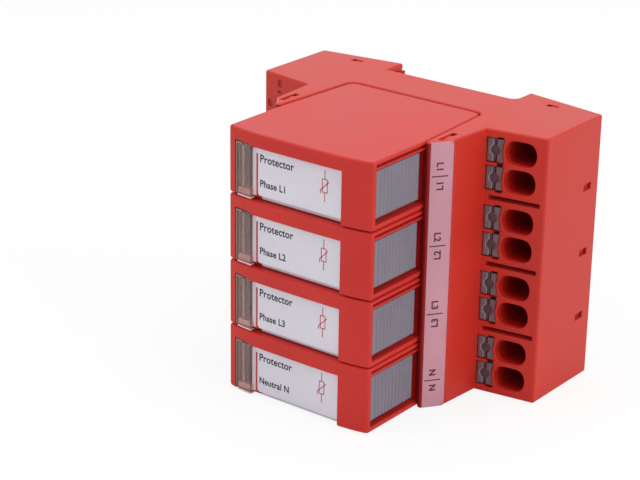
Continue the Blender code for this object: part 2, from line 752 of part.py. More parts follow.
def make_rear_cover():
    body = prism(cover_outline(), END_WALL + FIT_GAP, STACK_HEIGHT - END_WALL - FIT_GAP)
    body = combine(body, [latch_tabs()], "UNION")
    middle = STACK_HEIGHT / 2
    half = FOOT_WIDTH / 2 + FIT_GAP
    foot_top = RECESS_DEPTH - RAIL_FLANGE_SLOT
    slot = depth_block(RECESS_RIGHT - PAST, RECESS_RIGHT + COVER_WALL + FIT_GAP,
                       foot_top - FOOT_THICKNESS - FIT_GAP, foot_top + FIT_GAP, middle - half, middle + half)
    eye_x = RECESS_RIGHT + FOOT_TAIL - FOOT_EYE / 2
    eye = depth_block(eye_x - FOOT_EYE, eye_x + FOOT_EYE + FOOT_TRAVEL / 2, -PAST,
                      REAR_TAPER + COVER_WALL - FIT_GAP, middle - FOOT_EYE, middle + FOOT_EYE)
    return finished("rear_cover", combine(body, [slot, eye]))


def make_rail_foot():
    """Flat sliding latch with a slanted tip and an eye for a screwdriver."""
    top = RECESS_DEPTH - RAIL_FLANGE_SLOT
    tip = RECESS_RIGHT - FOOT_REACH
    tail = RECESS_RIGHT + FOOT_TAIL
    low = top - FOOT_THICKNESS
    profile = [(tip, top), (tail, top), (tail, low), (tip + FOOT_THICKNESS, low), (tip, top - 0.0008)]
    middle = STACK_HEIGHT / 2
    body = prism(plan(profile), middle - FOOT_WIDTH / 2, middle + FOOT_WIDTH / 2)
    eye_x = tail - FOOT_EYE
    eye = depth_block(eye_x - FOOT_EYE / 2, eye_x + FOOT_EYE / 2, low - PAST, low + FOOT_THICKNESS / 2,
                      middle - FOOT_EYE / 2, middle + FOOT_EYE / 2)
    return combine(body, [eye]), (tip, y_at(top - FOOT_THICKNESS / 2), middle)


def make_marking_strip(side):
    rear, front, along, outward = strip_lines()
    thickness = STRIP_SEAT - FIT_GAP
    end = front - along * (STRIP_LIP + FIT_GAP)
    points = [tuple(rear), tuple(end), tuple(end - outward * thickness),
              tuple(on_neck(rear, along, outward, thickness))]
    outline = plan(points)
    if side < 0:
        outline = mirrored(outline)
    end_gap = STRIP_END_WALL + FIT_GAP
    return prism(outline, end_gap, STACK_HEIGHT - end_gap)


# Contacts in the base

def fork_corners():
    """Two prongs that grip a blade, as (x, depth) points about the blade's plane."""
    inner = BLADE_THICKNESS / 2 + FIT_GAP
    outer = inner + PRONG_THICKNESS
    tip = CAVITY_DEPTH - FIT_GAP
    base = BAR_DEPTH + BAR_THICKNESS
    return inner, outer, tip, base


def busbar_form(floor):
    """Folded bar from the wire clamps at the side to the fork under one blade."""
    inner, outer, tip, base = fork_corners()
    end = CAVITY_HALF - FIT_GAP
    outline = [
        (BLADE_X - outer, BAR_DEPTH), (end, BAR_DEPTH), (end, tip), (end - PRONG_THICKNESS, tip),
        (end - PRONG_THICKNESS, base), (BLADE_X + outer, base), (BLADE_X + outer, tip),
        (BLADE_X + inner, tip), (BLADE_X + inner, base), (BLADE_X - inner, base),
        (BLADE_X - inner, tip), (BLADE_X - outer, tip),
    ]
    middle = floor + POLE_MIDDLE
    return prism(plan(outline), middle - BAR_HEIGHT / 2, middle + BAR_HEIGHT / 2)


def fork_form(floor):
    inner, outer, tip, base = fork_corners()
    outline = [
        (-BLADE_X - outer, BAR_DEPTH), (-BLADE_X + outer, BAR_DEPTH), (-BLADE_X + outer, tip),
        (-BLADE_X + inner, tip), (-BLADE_X + inner, base), (-BLADE_X - inner, base),
        (-BLADE_X - inner, tip), (-BLADE_X - outer, tip),
    ]
    middle = floor + POLE_MIDDLE
    return prism(plan(outline), middle - BAR_HEIGHT / 2, middle + BAR_HEIGHT / 2)


def make_earth_bar():
    backbone = depth_block(-BACKBONE_RIGHT - BACKBONE_WIDTH, -BACKBONE_RIGHT, BAR_DEPTH,
                           BAR_DEPTH + BAR_THICKNESS, POLE_MIDDLE - BAR_HEIGHT / 2 + FIT_GAP,
                           STACK_HEIGHT - POLE_MIDDLE + BAR_HEIGHT / 2 - FIT_GAP)
    forks = [fork_form(pole_floor(pole)) for pole in range(1, POLE_COUNT + 1) if pole != EARTH_POLE]
    branch = flipped(busbar_form(pole_floor(EARTH_POLE)))
    return combine(backbone, forks + [branch], "UNION")


# Release pushers of the wire clamps

def make_pusher():
    """Pusher at height zero, its front parallel to the terminal face."""
    form = prism(pusher_outline(), y_at(SHOULDER_INNER_DEPTH), y_at(PUSHER_TAIL_DEPTH), "Y")
    front = y_at(SHOULDER_INNER_DEPTH)
    for vertex in form.verts:
        if abs(vertex.co.y - front) < 0.00001:
            vertex.co.y = y_at(face_depth(vertex.co.x) - PUSHER_SINK)
    middle_x = PUSHER_X + PUSHER_WIDTH * 0.48
    floor = face_depth(middle_x) - PUSHER_SINK - PUSHER_SLOT_SINK
    slot = depth_block(middle_x - PUSHER_SLOT_WIDTH / 2, middle_x + PUSHER_SLOT_WIDTH / 2, floor,
                       SHOULDER_INNER_DEPTH + PAST, -PUSHER_HEIGHT, PUSHER_HEIGHT)
    steps = 16
    ring = [(middle_x + PUSHER_DIMPLE_RADIUS * math.cos(2 * math.pi * (step + 0.5) / steps),
             PUSHER_DIMPLE_RADIUS * math.sin(2 * math.pi * (step + 0.5) / steps)) for step in range(steps)]
    dimple = prism(ring, y_at(floor), y_at(SHOULDER_INNER_DEPTH + PAST), "Y")
    return combine(form, [slot, dimple])


# Protection module, modelled from the bottom of its pole

def shell_outline():
    steps = 7
    rear_half = CHANNEL_FLOOR_HALF - FIT_GAP
    right = [((rear_half, MODULE_REAR_DEPTH), CHANNEL_CORNER_RADIUS),
             ((MODULE_HALF, WING_DEPTH), 0.0),
             ((MODULE_HALF, front_depth(MODULE_HALF)), SHELL_CORNER_RADIUS)]
    for step in range(1, steps + 1):
        x = MODULE_HALF * (1 - step / (steps + 0.5)) ** 0.8
        right.append(((x, front_depth(x)), 0.0))
    left = [((-x, depth), radius) for (x, depth), radius in reversed(right)]
    return rounded([((x, y_at(depth)), radius) for (x, depth), radius in right + left])


def shell_cavity():
    narrow = SHELL_INNER_HALF
    rear = CHANNEL_FLOOR_HALF - FIT_GAP - SHELL_SIDE_WALL
    shoulder = MODULE_HALF - SHELL_SIDE_WALL - CHANNEL_DRAFT * 0.3
    bay_start = GRIP_BAY_REAR - SHELL_WALL
    right = [(rear, MODULE_REAR_DEPTH - PAST), (shoulder, bay_start), (narrow, bay_start),
             (narrow, SHELL_FRONT_DEPTH)]
    return prism(plan(right + mirrored(right)), MODULE_LOW + SHELL_WALL, MODULE_HIGH - SHELL_WALL)


def grip_bay_cuts():
    """Bays in both sides, each with a slot for the grip's arm and a groove above a thin shelf."""
    cuts = []
    arm_middle = (GRIP_REAR_DEPTH + GRIP_FRONT_DEPTH) / 2
    arm_half = GRIP_ARM_LENGTH / 2 + FIT_GAP
    arm_rise = GRIP_ARM_THICKNESS / 2 + FIT_GAP
    grip_middle = (GRIP_LOW + GRIP_HIGH) / 2
    for side in (-1, 1):
        ends = sorted((side * GRIP_BAY_X, side * (MODULE_HALF + PAST)))
        shelf_low = GRIP_HIGH + FIT_GAP
        cuts.append(depth_block(ends[0], ends[1], GRIP_BAY_REAR, GRIP_FRONT_DEPTH + FIT_GAP,
                                GRIP_BAY_LOW, shelf_low))
        ends = sorted((side * (MODULE_HALF - GRIP_GROOVE_SINK), side * (MODULE_HALF + PAST)))
        cuts.append(depth_block(ends[0], ends[1], GRIP_BAY_REAR, GRIP_FRONT_DEPTH + FIT_GAP,
                                shelf_low + GRIP_SHELF, GRIP_BAY_HIGH))
        ends = sorted((side * (SHELL_INNER_HALF - PAST), side * (GRIP_BAY_X + PAST)))
        cuts.append(depth_block(ends[0], ends[1], arm_middle - arm_half, arm_middle + arm_half,
                                grip_middle - arm_rise, grip_middle + arm_rise))
    return cuts


def make_shell():
    body = prism(shell_outline(), MODULE_LOW, MODULE_HIGH, softening=SHELL_SOFTENING, segments=2)
    pocket = depth_block(-POCKET_LEFT, POCKET_RIGHT, POCKET_FLOOR_DEPTH, OVERALL_DEPTH + PAST,
                         -PAST, POCKET_TOP)
    rise = depth_block(-POCKET_LEFT, -POCKET_LEFT + WINDOW_WIDTH + FIT_GAP, POCKET_FLOOR_DEPTH,
                       OVERALL_DEPTH + PAST, POCKET_TOP / 2, POCKET_TOP + WINDOW_RISE)
    port = depth_block(-SHELL_INNER_HALF, -SHELL_INNER_HALF + WINDOW_PORT_WIDTH, SHELL_FRONT_DEPTH - PAST,
                       POCKET_FLOOR_DEPTH + PAST, WINDOW_PORT_LOW, POCKET_TOP - SHELL_WALL)
    return finished("module_shell", combine(body, [shell_cavity(), pocket, rise, port] + grip_bay_cuts()))


def make_module_plate():
    """Plate that closes the module's back, with a slot for each blade."""
    half = CHANNEL_FLOOR_HALF - SHELL_SIDE_WALL - 2 * FIT_GAP
    low = MODULE_LOW + SHELL_WALL + FIT_GAP
    front = MODULE_REAR_DEPTH + MODULE_PLATE
    body = depth_block(-half, half, MODULE_REAR_DEPTH, front, low, POLE_PITCH - low)
    slot_half = BLADE_THICKNESS / 2 + FIT_GAP
    slot_rise = BAR_HEIGHT / 2 + FIT_GAP
    slots = [depth_block(side * BLADE_X - slot_half, side * BLADE_X + slot_half,
                         MODULE_REAR_DEPTH - PAST, front + PAST, POLE_MIDDLE - slot_rise,
                         POLE_MIDDLE + slot_rise) for side in (-1, 1)]
    return finished("module_plate", combine(body, [joined(slots)]))


def make_window():
    """Clear status window, flush with the label and open to the port behind it."""
    left = -POCKET_LEFT + FIT_GAP
    right = left + WINDOW_WIDTH - FIT_GAP
    return finished("status_window", depth_block(left, right, POCKET_FLOOR_DEPTH + FIT_GAP, LABEL_DEPTH,
                                                 MODULE_LOW, POCKET_TOP + WINDOW_RISE - FIT_GAP))


def label_edges():
    left = -POCKET_LEFT + WINDOW_WIDTH + FIT_GAP
    right = POCKET_RIGHT - FIT_GAP
    return left, right, LABEL_LIFT, POCKET_TOP - FIT_GAP


def make_label():
    """Label plate with a slit that splits off a narrow strip beside the window."""
    left, right, low, high = label_edges()
    slit = left + LABEL_SLIT_INSET
    slit_right = slit + LABEL_SLIT_WIDTH
    slit_top = high - LABEL_SLIT_TOP
    small = LABEL_CORNER_RADIUS / 2
    corners = [((left, LABEL_STRIP_LIFT), small), ((slit, LABEL_STRIP_LIFT), 0.0), ((slit, slit_top), 0.0),
               ((slit_right, slit_top), 0.0), ((slit_right, low), LABEL_CORNER_RADIUS),
               ((right, low), small), ((right, high), LABEL_CORNER_RADIUS),
               ((left, high), LABEL_CORNER_RADIUS)]
    return finished("label_plate", prism(rounded(corners, 2), y_at(LABEL_DEPTH),
                                         y_at(LABEL_DEPTH - LABEL_THICKNESS), "Y"))


def make_grip():
    """Ribbed release grip of the right side, with the arm that works the latch."""
    face = MODULE_HALF - GRIP_INSET
    back = face - GRIP_PLATE
    pitch = (GRIP_FRONT_DEPTH - GRIP_REAR_DEPTH) / GRIP_RIB_COUNT
    outline = [(back, GRIP_FRONT_DEPTH), (back, GRIP_REAR_DEPTH)]
    for rib in range(GRIP_RIB_COUNT):
        start = GRIP_REAR_DEPTH + rib * pitch
        outline.append((face, start))
        outline.append((face, start + pitch * 0.62))
        if rib < GRIP_RIB_COUNT - 1:
            outline.append((face - GRIP_RIB_SINK, start + pitch * 0.7))
            outline.append((face - GRIP_RIB_SINK, start + pitch * 0.92))
    outline.append((face, GRIP_FRONT_DEPTH))
    plate = prism(plan(outline), GRIP_LOW, GRIP_HIGH)
    arm_middle = (GRIP_REAR_DEPTH + GRIP_FRONT_DEPTH) / 2
    grip_middle = (GRIP_LOW + GRIP_HIGH) / 2
    arm = depth_block(back - GRIP_ARM_REACH, back + GRIP_PLATE / 4, arm_middle - GRIP_ARM_LENGTH / 2,
                      arm_middle + GRIP_ARM_LENGTH / 2, grip_middle - GRIP_ARM_THICKNESS / 2,
                      grip_middle + GRIP_ARM_THICKNESS / 2)
    return combine(plate, [arm], "UNION")


def grip_origin(side):
    return (side * MODULE_HALF, y_at((GRIP_REAR_DEPTH + GRIP_FRONT_DEPTH) / 2), (GRIP_LOW + GRIP_HIGH) / 2)


def make_varistor():
    """Coated square varistor block with rounded corners."""
    outline = box_outline(-VARISTOR_HALF, VARISTOR_HALF, VARISTOR_REAR_DEPTH, VARISTOR_FRONT_DEPTH)
    corners = [(point, VARISTOR_CORNER) for point in plan(outline)]
    half = VARISTOR_THICKNESS / 2
    body = prism(rounded(corners), POLE_MIDDLE - half, POLE_MIDDLE + half, softening=VARISTOR_EDGE)
    return finished("varistor", body)


def make_blade(side):
    """Plug-in blade with a foot folded along the back of the varistor."""
    half = BLADE_THICKNESS / 2
    outline = [
        (BLADE_X - half, BLADE_TIP_DEPTH + half), (BLADE_X, BLADE_TIP_DEPTH),
        (BLADE_X + half, BLADE_TIP_DEPTH + half), (BLADE_X + half, BLADE_ROOT_DEPTH),
        (BLADE_X - BLADE_FOOT, BLADE_ROOT_DEPTH),
        (BLADE_X - BLADE_FOOT, BLADE_ROOT_DEPTH - BLADE_THICKNESS),
        (BLADE_X - half, BLADE_ROOT_DEPTH - BLADE_THICKNESS),
    ]
    points = plan(outline)
    if side < 0:
        points = mirrored(points)
    return finished("blade", prism(points, POLE_MIDDLE - BAR_HEIGHT / 2, POLE_MIDDLE + BAR_HEIGHT / 2))


def make_flag():
    """Status flag that stands behind the window, with a leg towards the varistor."""
    left = -SHELL_INNER_HALF + FIT_GAP
    front = SHELL_FRONT_DEPTH - FIT_GAP
    middle = (WINDOW_PORT_LOW + POCKET_TOP - SHELL_WALL) / 2
    leg = left + FLAG_WIDTH - FLAG_THICKNESS
    foot = VARISTOR_FRONT_DEPTH + FIT_GAP
    outline = [(left, front), (left, front - FLAG_THICKNESS), (leg, front - FLAG_THICKNESS), (leg, foot),
               (left + FLAG_WIDTH, foot), (left + FLAG_WIDTH, front)]
    plate = prism(plan(outline), middle - FLAG_HEIGHT / 2, middle + FLAG_HEIGHT / 2)
    return plate, (left, y_at(front), middle)


# Assembly

for old in list(bpy.data.objects):
    bpy.data.objects.remove(old)

MATERIALS = {
    "housing_red": plastic("housing_red", "D8423A", 0.45),
    "shell_red": plastic("shell_red", "DC4A42", 0.42),
    "cover_red": plastic("cover_red", "CC3C34", 0.5),
    "grip_grey": plastic("grip_grey", "8A8690", 0.5),
    "pusher_grey": plastic("pusher_grey", "7A747A", 0.5),
    "foot_black": plastic("foot_black", "2C2C2E", 0.5),
    "strip_mauve": plastic("strip_mauve", "C89AA6", 0.5),
    "label_white": plastic("label_white", "DCD8E2", 0.4),
    "window_clear": plastic("window_clear", "A89C98", 0.15, alpha=0.5),
    "flag_green": plastic("flag_green", "5C8A52", 0.5),
    "copper": plastic("copper", "C0764C", 0.35, 1.0),
    "tinned_brass": plastic("tinned_brass", "C8C4B8", 0.3, 1.0),
    "varistor_blue": plastic("varistor_blue", "2C5C9C", 0.4),
    "plate_red": plastic("plate_red", "C23A34", 0.5),
}


def build_base():
    base = frame_empty("base_frame", (0.0, 0.0, 0.0))
    place("base_housing", make_base_housing(), base, (0.0, 0.0, 0.0), "housing_red")
    place("rear_cover", make_rear_cover(), base, (0.0, 0.0, 0.0), "cover_red")
    foot, foot_origin = make_rail_foot()
    place("rail_foot", finished("rail_foot", foot, foot_origin), base, foot_origin, "foot_black")
    for side, name in ((1, "marking_strip_line"), (-1, "marking_strip_earth")):
        place(name, finished(name, make_marking_strip(side)), base, (0.0, 0.0, 0.0), "strip_mauve")
    place("earth_bar", finished("earth_bar", make_earth_bar()), base, (0.0, 0.0, 0.0), "copper")
    bar_mesh = finished("line_bar", busbar_form(0.0))
    for pole in range(1, POLE_COUNT + 1):
        place(f"line_bar_{pole}", bar_mesh, base, (0.0, 0.0, pole_floor(pole)), "copper")
    build_pushers(base)


def build_pushers(base):
    line_origin = (PUSHER_X + PUSHER_WIDTH / 2, y_at(SHOULDER_INNER_DEPTH), 0.0)
    earth_origin = (-line_origin[0], line_origin[1], 0.0)
    line_mesh = finished("line_pusher", make_pusher(), line_origin)
    earth_mesh = finished("earth_pusher", flipped(make_pusher()), earth_origin)
    for pole in range(1, POLE_COUNT + 1):
        for letter, height in zip("ab", pusher_heights(pole)):
            place(f"line_pusher_{pole}{letter}", line_mesh, base,
                  (line_origin[0], line_origin[1], height), "pusher_grey")
    for letter, height in zip("ab", pusher_heights(EARTH_POLE)):
        place(f"earth_pusher_{letter}", earth_mesh, base,
              (earth_origin[0], earth_origin[1], height), "pusher_grey")


def build_modules():
    right_origin = grip_origin(1)
    left_origin = grip_origin(-1)
    flag, flag_origin = make_flag()
    here = (0.0, 0.0, 0.0)
    pieces = [
        ("shell", make_shell(), here, "shell_red"),
        ("plate", make_module_plate(), here, "plate_red"),
        ("window", make_window(), here, "window_clear"),
        ("label", make_label(), here, "label_white"),
        ("grip_right", finished("grip_right", make_grip(), right_origin), right_origin, "grip_grey"),
        ("grip_left", finished("grip_left", flipped(make_grip()), left_origin), left_origin, "grip_grey"),
        ("varistor", make_varistor(), here, "varistor_blue"),
        ("blade_line", make_blade(1), here, "tinned_brass"),
        ("blade_earth", make_blade(-1), here, "tinned_brass"),
        ("flag", finished("flag", flag, flag_origin), flag_origin, "flag_green"),
    ]
    for pole in range(1, POLE_COUNT + 1):
        frame = frame_empty(f"module_{pole}_frame", (0.0, 0.0, pole_floor(pole)))
        for label, mesh, location, material_name in pieces:
            place(f"module_{pole}_{label}", mesh, frame, location, material_name)


build_base()
build_modules()
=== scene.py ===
import math

import bmesh
import bpy
from mathutils import Matrix, Vector


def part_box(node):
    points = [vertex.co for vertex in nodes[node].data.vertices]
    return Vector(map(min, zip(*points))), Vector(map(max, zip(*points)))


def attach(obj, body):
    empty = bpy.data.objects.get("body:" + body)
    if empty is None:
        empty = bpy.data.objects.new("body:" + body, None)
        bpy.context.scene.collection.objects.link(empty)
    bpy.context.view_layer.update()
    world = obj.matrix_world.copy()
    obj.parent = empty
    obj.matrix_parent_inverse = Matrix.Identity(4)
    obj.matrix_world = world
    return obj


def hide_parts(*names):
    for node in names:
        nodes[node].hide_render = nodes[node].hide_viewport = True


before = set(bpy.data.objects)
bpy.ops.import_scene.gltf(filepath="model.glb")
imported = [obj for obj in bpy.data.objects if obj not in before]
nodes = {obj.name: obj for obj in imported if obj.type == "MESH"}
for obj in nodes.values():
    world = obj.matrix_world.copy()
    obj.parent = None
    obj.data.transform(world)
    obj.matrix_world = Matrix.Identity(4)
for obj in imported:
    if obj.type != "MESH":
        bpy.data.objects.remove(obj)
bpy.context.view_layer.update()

mm = 0.001
poleCount = 4
polePitch = 18.0          # mm, one pole of the rail's grid
unitDepth = 72.6          # mm, from the rearmost plane to the modules' fronts
stackHeight = polePitch * poleCount
earthPole = 2             # the one pole with wire entries on the earth side
smoothAngle = 35.0        # degrees, sharper edges than this stay crisp in the shading
bevelAngle = 32.0         # degrees, only edges sharper than this get a bevel
driftSpan = (0.3, 0.7)    # the part of a noise's range that holds nearly all its values
capShare = 0.73           # height of a capital as a share of the font's size
grainRise = 0.05          # mm, the plastics' grain at a bump strength of 1
flowRise = 0.1            # mm, the flow lines of the clear plastic, the same way
weldGap = 0.005           # mm, corners closer than this become one after a cut
plasticSpread = (-0.04, 0.05)      # roughness below and above the stated one
metalSpread = (-0.06, 0.08)


def yAt(depth):
    # mm forward of the rearmost plane -> the frame's Y in mm
    return unitDepth / 2 - depth


def poleFloor(pole):
    return (poleCount - pole) * polePitch


print("frame loaded:", len(nodes), "nodes")


def hexColor(code):
    # sRGB hex to linear
    channels = [int(code[i:i + 2], 16) / 255 for i in (0, 2, 4)]
    linear = [c / 12.92 if c <= 0.04045 else ((c + 0.055) / 1.055) ** 2.4 for c in channels]
    return (*linear, 1.0)


def addNode(tree, kind, values=None, links=None, **settings):
    # one node with its settings, socket values and incoming links
    made = tree.nodes.new(kind)
    for name, value in settings.items():
        setattr(made, name, value)
    for name, value in (values or {}).items():
        made.inputs[name].default_value = value
    for name, source in (links or {}).items():
        tree.links.new(source, made.inputs[name])
    return made


def newMaterial(name):
    made = bpy.data.materials.new(name)
    made.use_nodes = True
    made.node_tree.nodes.clear()
    return made, made.node_tree


def setOutput(tree, shader, volume=None):
    links = {"Surface": shader}
    if volume:
        links["Volume"] = volume
    addNode(tree, "ShaderNodeOutputMaterial", links=links)


def toObject(name, mesh):
    piece = bpy.data.objects.new(name, mesh)
    bpy.context.scene.collection.objects.link(piece)
    return piece


def meshFrom(name, form):
    mesh = bpy.data.meshes.new(name)
    form.to_mesh(mesh)
    form.free()
    mesh.shade_smooth()
    mesh.set_sharp_from_angle(angle=math.radians(smoothAngle))
    return mesh


def extruded(outline, low, high, along="z"):
    # closed prism over (a, b) points in mm; along y the points are (x, z), along x they are (y, z)
    form = bmesh.new()
    rings = []
    for level in (low, high):
        spots = {"z": [(a, b, level) for a, b in outline], "y": [(a, level, b) for a, b in outline],
                 "x": [(level, a, b) for a, b in outline]}[along]
        rings.append([form.verts.new(Vector(spot) * mm) for spot in spots])
    form.faces.new(rings[0])
    form.faces.new(rings[1])
    for i in range(len(outline)):
        j = (i + 1) % len(outline)
        form.faces.new((rings[0][i], rings[0][j], rings[1][j], rings[1][i]))
    bmesh.ops.recalc_face_normals(form, faces=form.faces)
    return form


def boxForm(x0, x1, d0, d1, z0, z1):
    # box between two x, two depths and two heights in mm
    return extruded([(x0, yAt(d1)), (x1, yAt(d1)), (x1, yAt(d0)), (x0, yAt(d0))], z0, z1)


def ends(sizes, side):
    # the two sizes mirrored to a side of the stack, lowest first
    return sorted(side * size for size in sizes)


def merged(forms):
    # several closed forms as one
    whole = bmesh.new()
    for form in forms:
        mesh = bpy.data.meshes.new("part")
        form.to_mesh(mesh)
        form.free()
        whole.from_mesh(mesh)
        bpy.data.meshes.remove(mesh)
    return whole


def roundedBox(a0, a1, b0, b1, radius, steps=5):
    # outline of a rectangle with round corners
    points = []
    corners = ((a1 - radius, b1 - radius, 0), (a0 + radius, b1 - radius, 90),
               (a0 + radius, b0 + radius, 180), (a1 - radius, b0 + radius, 270))
    for a, b, start in corners:
        for i in range(steps + 1):
            angle = math.radians(start + 90 * i / steps)
            points.append((a + radius * math.cos(angle), b + radius * math.sin(angle)))
    return points


def carved(form, cutters):
    # takes the cutters out of the form and gives the result as a bmesh
    holder = toObject("carve", meshFrom("carve", form))
    tools = []
    for cutter in cutters:
        tool = toObject("cut", meshFrom("cut", cutter))
        change = holder.modifiers.new("Cut", "BOOLEAN")
        change.object = tool
        change.solver = "EXACT"
        tools.append(tool)
    graph = bpy.context.evaluated_depsgraph_get()
    result = bpy.data.meshes.new_from_object(holder.evaluated_get(graph))
    for used in [holder] + tools:
        mesh = used.data
        bpy.data.objects.remove(used)
        bpy.data.meshes.remove(mesh)
    out = bmesh.new()
    out.from_mesh(result)
    bpy.data.meshes.remove(result)
    bmesh.ops.remove_doubles(out, verts=out.verts, dist=weldGap * mm)
    return out


def dress(piece, material, body, bevel=0.0, segments=3, replaced=()):
    # finish shared by every piece: rounded edges, material, body and the node it stands for
    piece.data.materials.clear()
    piece.data.materials.append(material)
    if bevel:
        edge = piece.modifiers.new("Edges", "BEVEL")
        edge.width = bevel * mm
        edge.segments = segments
        edge.limit_method = "ANGLE"
        edge.angle_limit = math.radians(bevelAngle)
        edge.use_clamp_overlap = True
    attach(piece, body)
    if replaced:
        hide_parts(*replaced)
    return piece


def mouldedPlastic(name, settings):
    # injection-moulded plastic: a fine spark-eroded grain, slow colour drift, softly rounded edges. Sizes
    # in mm
    made, tree = newMaterial(name)
    place = addNode(tree, "ShaderNodeTexCoord")
    drift = addNode(tree, "ShaderNodeTexNoise", {"Scale": 1000 / settings["driftSize"], "Detail": 3.0},
                    {"Vector": place.outputs["Object"]})
    ramp = addNode(tree, "ShaderNodeValToRGB", links={"Fac": drift.outputs["Fac"]})
    if "shadeFade" in settings:
        # painted shade: dark to light between two depths in place of the drift
        split = addNode(tree, "ShaderNodeSeparateXYZ", links={"Vector": place.outputs["Object"]})
        deep, shallow = [yAt(depth) * mm for depth in settings["shadeFade"]]
        shadeFade = addNode(tree, "ShaderNodeMapRange", {"From Min": deep, "From Max": shallow},
                       {"Value": split.outputs["Y"]})
        tree.links.new(shadeFade.outputs["Result"], ramp.inputs["Fac"])
    ramp.color_ramp.elements[0].position = driftSpan[0]
    ramp.color_ramp.elements[0].color = hexColor(settings["dark"])
    ramp.color_ramp.elements[1].position = driftSpan[1]
    ramp.color_ramp.elements[1].color = hexColor(settings["light"])
    grain = addNode(tree, "ShaderNodeTexNoise", {"Scale": 1000 / settings["grainSize"], "Detail": 2.0},
                    {"Vector": place.outputs["Object"]})
    gloss = addNode(tree, "ShaderNodeMapRange", {"From Min": driftSpan[0], "From Max": driftSpan[1],
                                                 "To Min": settings["roughness"] + plasticSpread[0],
                                                 "To Max": settings["roughness"] + plasticSpread[1]},
                    {"Value": drift.outputs["Fac"]})
    corner = addNode(tree, "ShaderNodeBevel", {"Radius": settings["corner"] * mm}, samples=4)
    bump = addNode(tree, "ShaderNodeBump", {"Strength": settings["bump"], "Distance": grainRise * mm},
                   {"Height": grain.outputs["Fac"], "Normal": corner.outputs["Normal"]})
    shader = addNode(tree, "ShaderNodeBsdfPrincipled",
                     {"IOR": settings["ior"], "Specular IOR Level": settings.get("specular", 0.5),
                      "Sheen Weight": settings.get("sheen", 0.0), "Sheen Roughness": 0.4},
                     {"Base Color": ramp.outputs["Color"], "Roughness": gloss.outputs["Result"],
                      "Normal": bump.outputs["Normal"]})
    setOutput(tree, shader.outputs["BSDF"])
    return made


# The plastics' grain is drawn at 0.4 to 0.5 mm, since the real 0.1 mm wouldn't show.
# Polyamide, moulded in a spark-eroded tool: satin red that turns pale where light grazes it
polyamideRed = mouldedPlastic("moulded polyamide red", {
    "dark": "CC2412", "light": "D52C19", "driftSize": 30.0, "grainSize": 0.5, "bump": 0.16,
    "roughness": 0.44, "ior": 1.53, "specular": 0.42, "sheen": 0.1, "corner": 0.25})
# The same polyamide without rounded corners, for small pieces let flush into the housing
polyamideSeam = mouldedPlastic("moulded polyamide red flush", {
    "dark": "CC2412", "light": "D52C19", "driftSize": 30.0, "grainSize": 0.5, "bump": 0.16,
    "roughness": 0.44, "ior": 1.53, "specular": 0.42, "sheen": 0.1, "corner": 0.0})
# The modules' shells: the same polyamide from a finer tool, a touch glossier and pinker
polyamideShell = mouldedPlastic("moulded polyamide module red", {
    "dark": "CF2820", "light": "D93027", "driftSize": 26.0, "grainSize": 0.45, "bump": 0.12,
    "roughness": 0.4, "ior": 1.53, "specular": 0.3, "sheen": 0.08, "corner": 0.22})
# The rear cover: the same polyamide, duller and a little darker from a worn tool
polyamideCover = mouldedPlastic("moulded polyamide cover red", {
    "dark": "B8241E", "light": "C42C25", "driftSize": 30.0, "grainSize": 0.5, "bump": 0.16,
    "roughness": 0.48, "ior": 1.53, "corner": 0.25})
# Polycarbonate blend, dove grey: the grips and pushers look dry and slightly violet
polycarbonateGrey = mouldedPlastic("moulded polycarbonate grey", {
    "dark": "7D7885", "light": "86818E", "driftSize": 9.0, "grainSize": 0.4, "bump": 0.1,
    "roughness": 0.42, "ior": 1.585, "corner": 0.5})
# The pushers: the same blend in a warmer, darker grey, a touch glossy where the screwdriver leans
pusherGrey = mouldedPlastic("moulded polycarbonate pusher grey", {
    "dark": "6C5D65", "light": "786971", "driftSize": 5.0, "grainSize": 0.4, "bump": 0.12,
    "roughness": 0.34, "ior": 1.585, "corner": 0.18})
# The pushers' details, in the same blend: painted shade in the slot and the dimple, and a painted highlight
# along the slot's edge
pusherSlotShade = mouldedPlastic("painted shade pusher slot", {
    "dark": "2C2026", "light": "34272D", "driftSize": 5.0, "grainSize": 0.4, "bump": 0.1,
    "roughness": 0.5, "ior": 1.585, "specular": 0.3, "corner": 0.0})
pusherDimpleShade = mouldedPlastic("painted shade pusher dimple", {
    "dark": "5A474D", "light": "655157", "driftSize": 5.0, "grainSize": 0.4, "bump": 0.1,
    "roughness": 0.4, "ior": 1.585, "corner": 0.1})
pusherEdgeHighlight = mouldedPlastic("painted highlight pusher edge", {
    "dark": "9C8C92", "light": "A8989E", "driftSize": 5.0, "grainSize": 0.4, "bump": 0.1,
    "roughness": 0.4, "ior": 1.585, "corner": 0.0})
# Acetal for the sliding rail foot: black and slightly waxy
acetalBlack = mouldedPlastic("moulded acetal black", {
    "dark": "232325", "light": "2D2D30", "driftSize": 8.0, "grainSize": 0.4, "bump": 0.1,
    "roughness": 0.38, "ior": 1.48, "corner": 0.2})
# Marking strip: pale frosted polycarbonate over red, so it reads dusty pink
frostedPink = mouldedPlastic("frosted polycarbonate pink", {
    "dark": "C68B9A", "light": "D197A5", "driftSize": 16.0, "grainSize": 0.4, "bump": 0.08,
    "roughness": 0.42, "ior": 1.585, "corner": 0.15})
# Label plate: white ABS under a clear film, cool and even
labelWhite = mouldedPlastic("white abs label", {
    "dark": "E6E2ED", "light": "ECE8F2", "driftSize": 14.0, "grainSize": 0.5, "bump": 0.03,
    "roughness": 0.3, "ior": 1.54, "corner": 0.15})
# Latch catches: acetal, matt, in a dark maroon that is painted shade at the rear of the bays
catchShadeMaroon = mouldedPlastic("painted shade catch maroon", {
    "dark": "7C1018", "light": "8A141C", "driftSize": 8.0, "grainSize": 0.4, "bump": 0.1,
    "roughness": 0.6, "ior": 1.48, "specular": 0.2, "corner": 0.1})
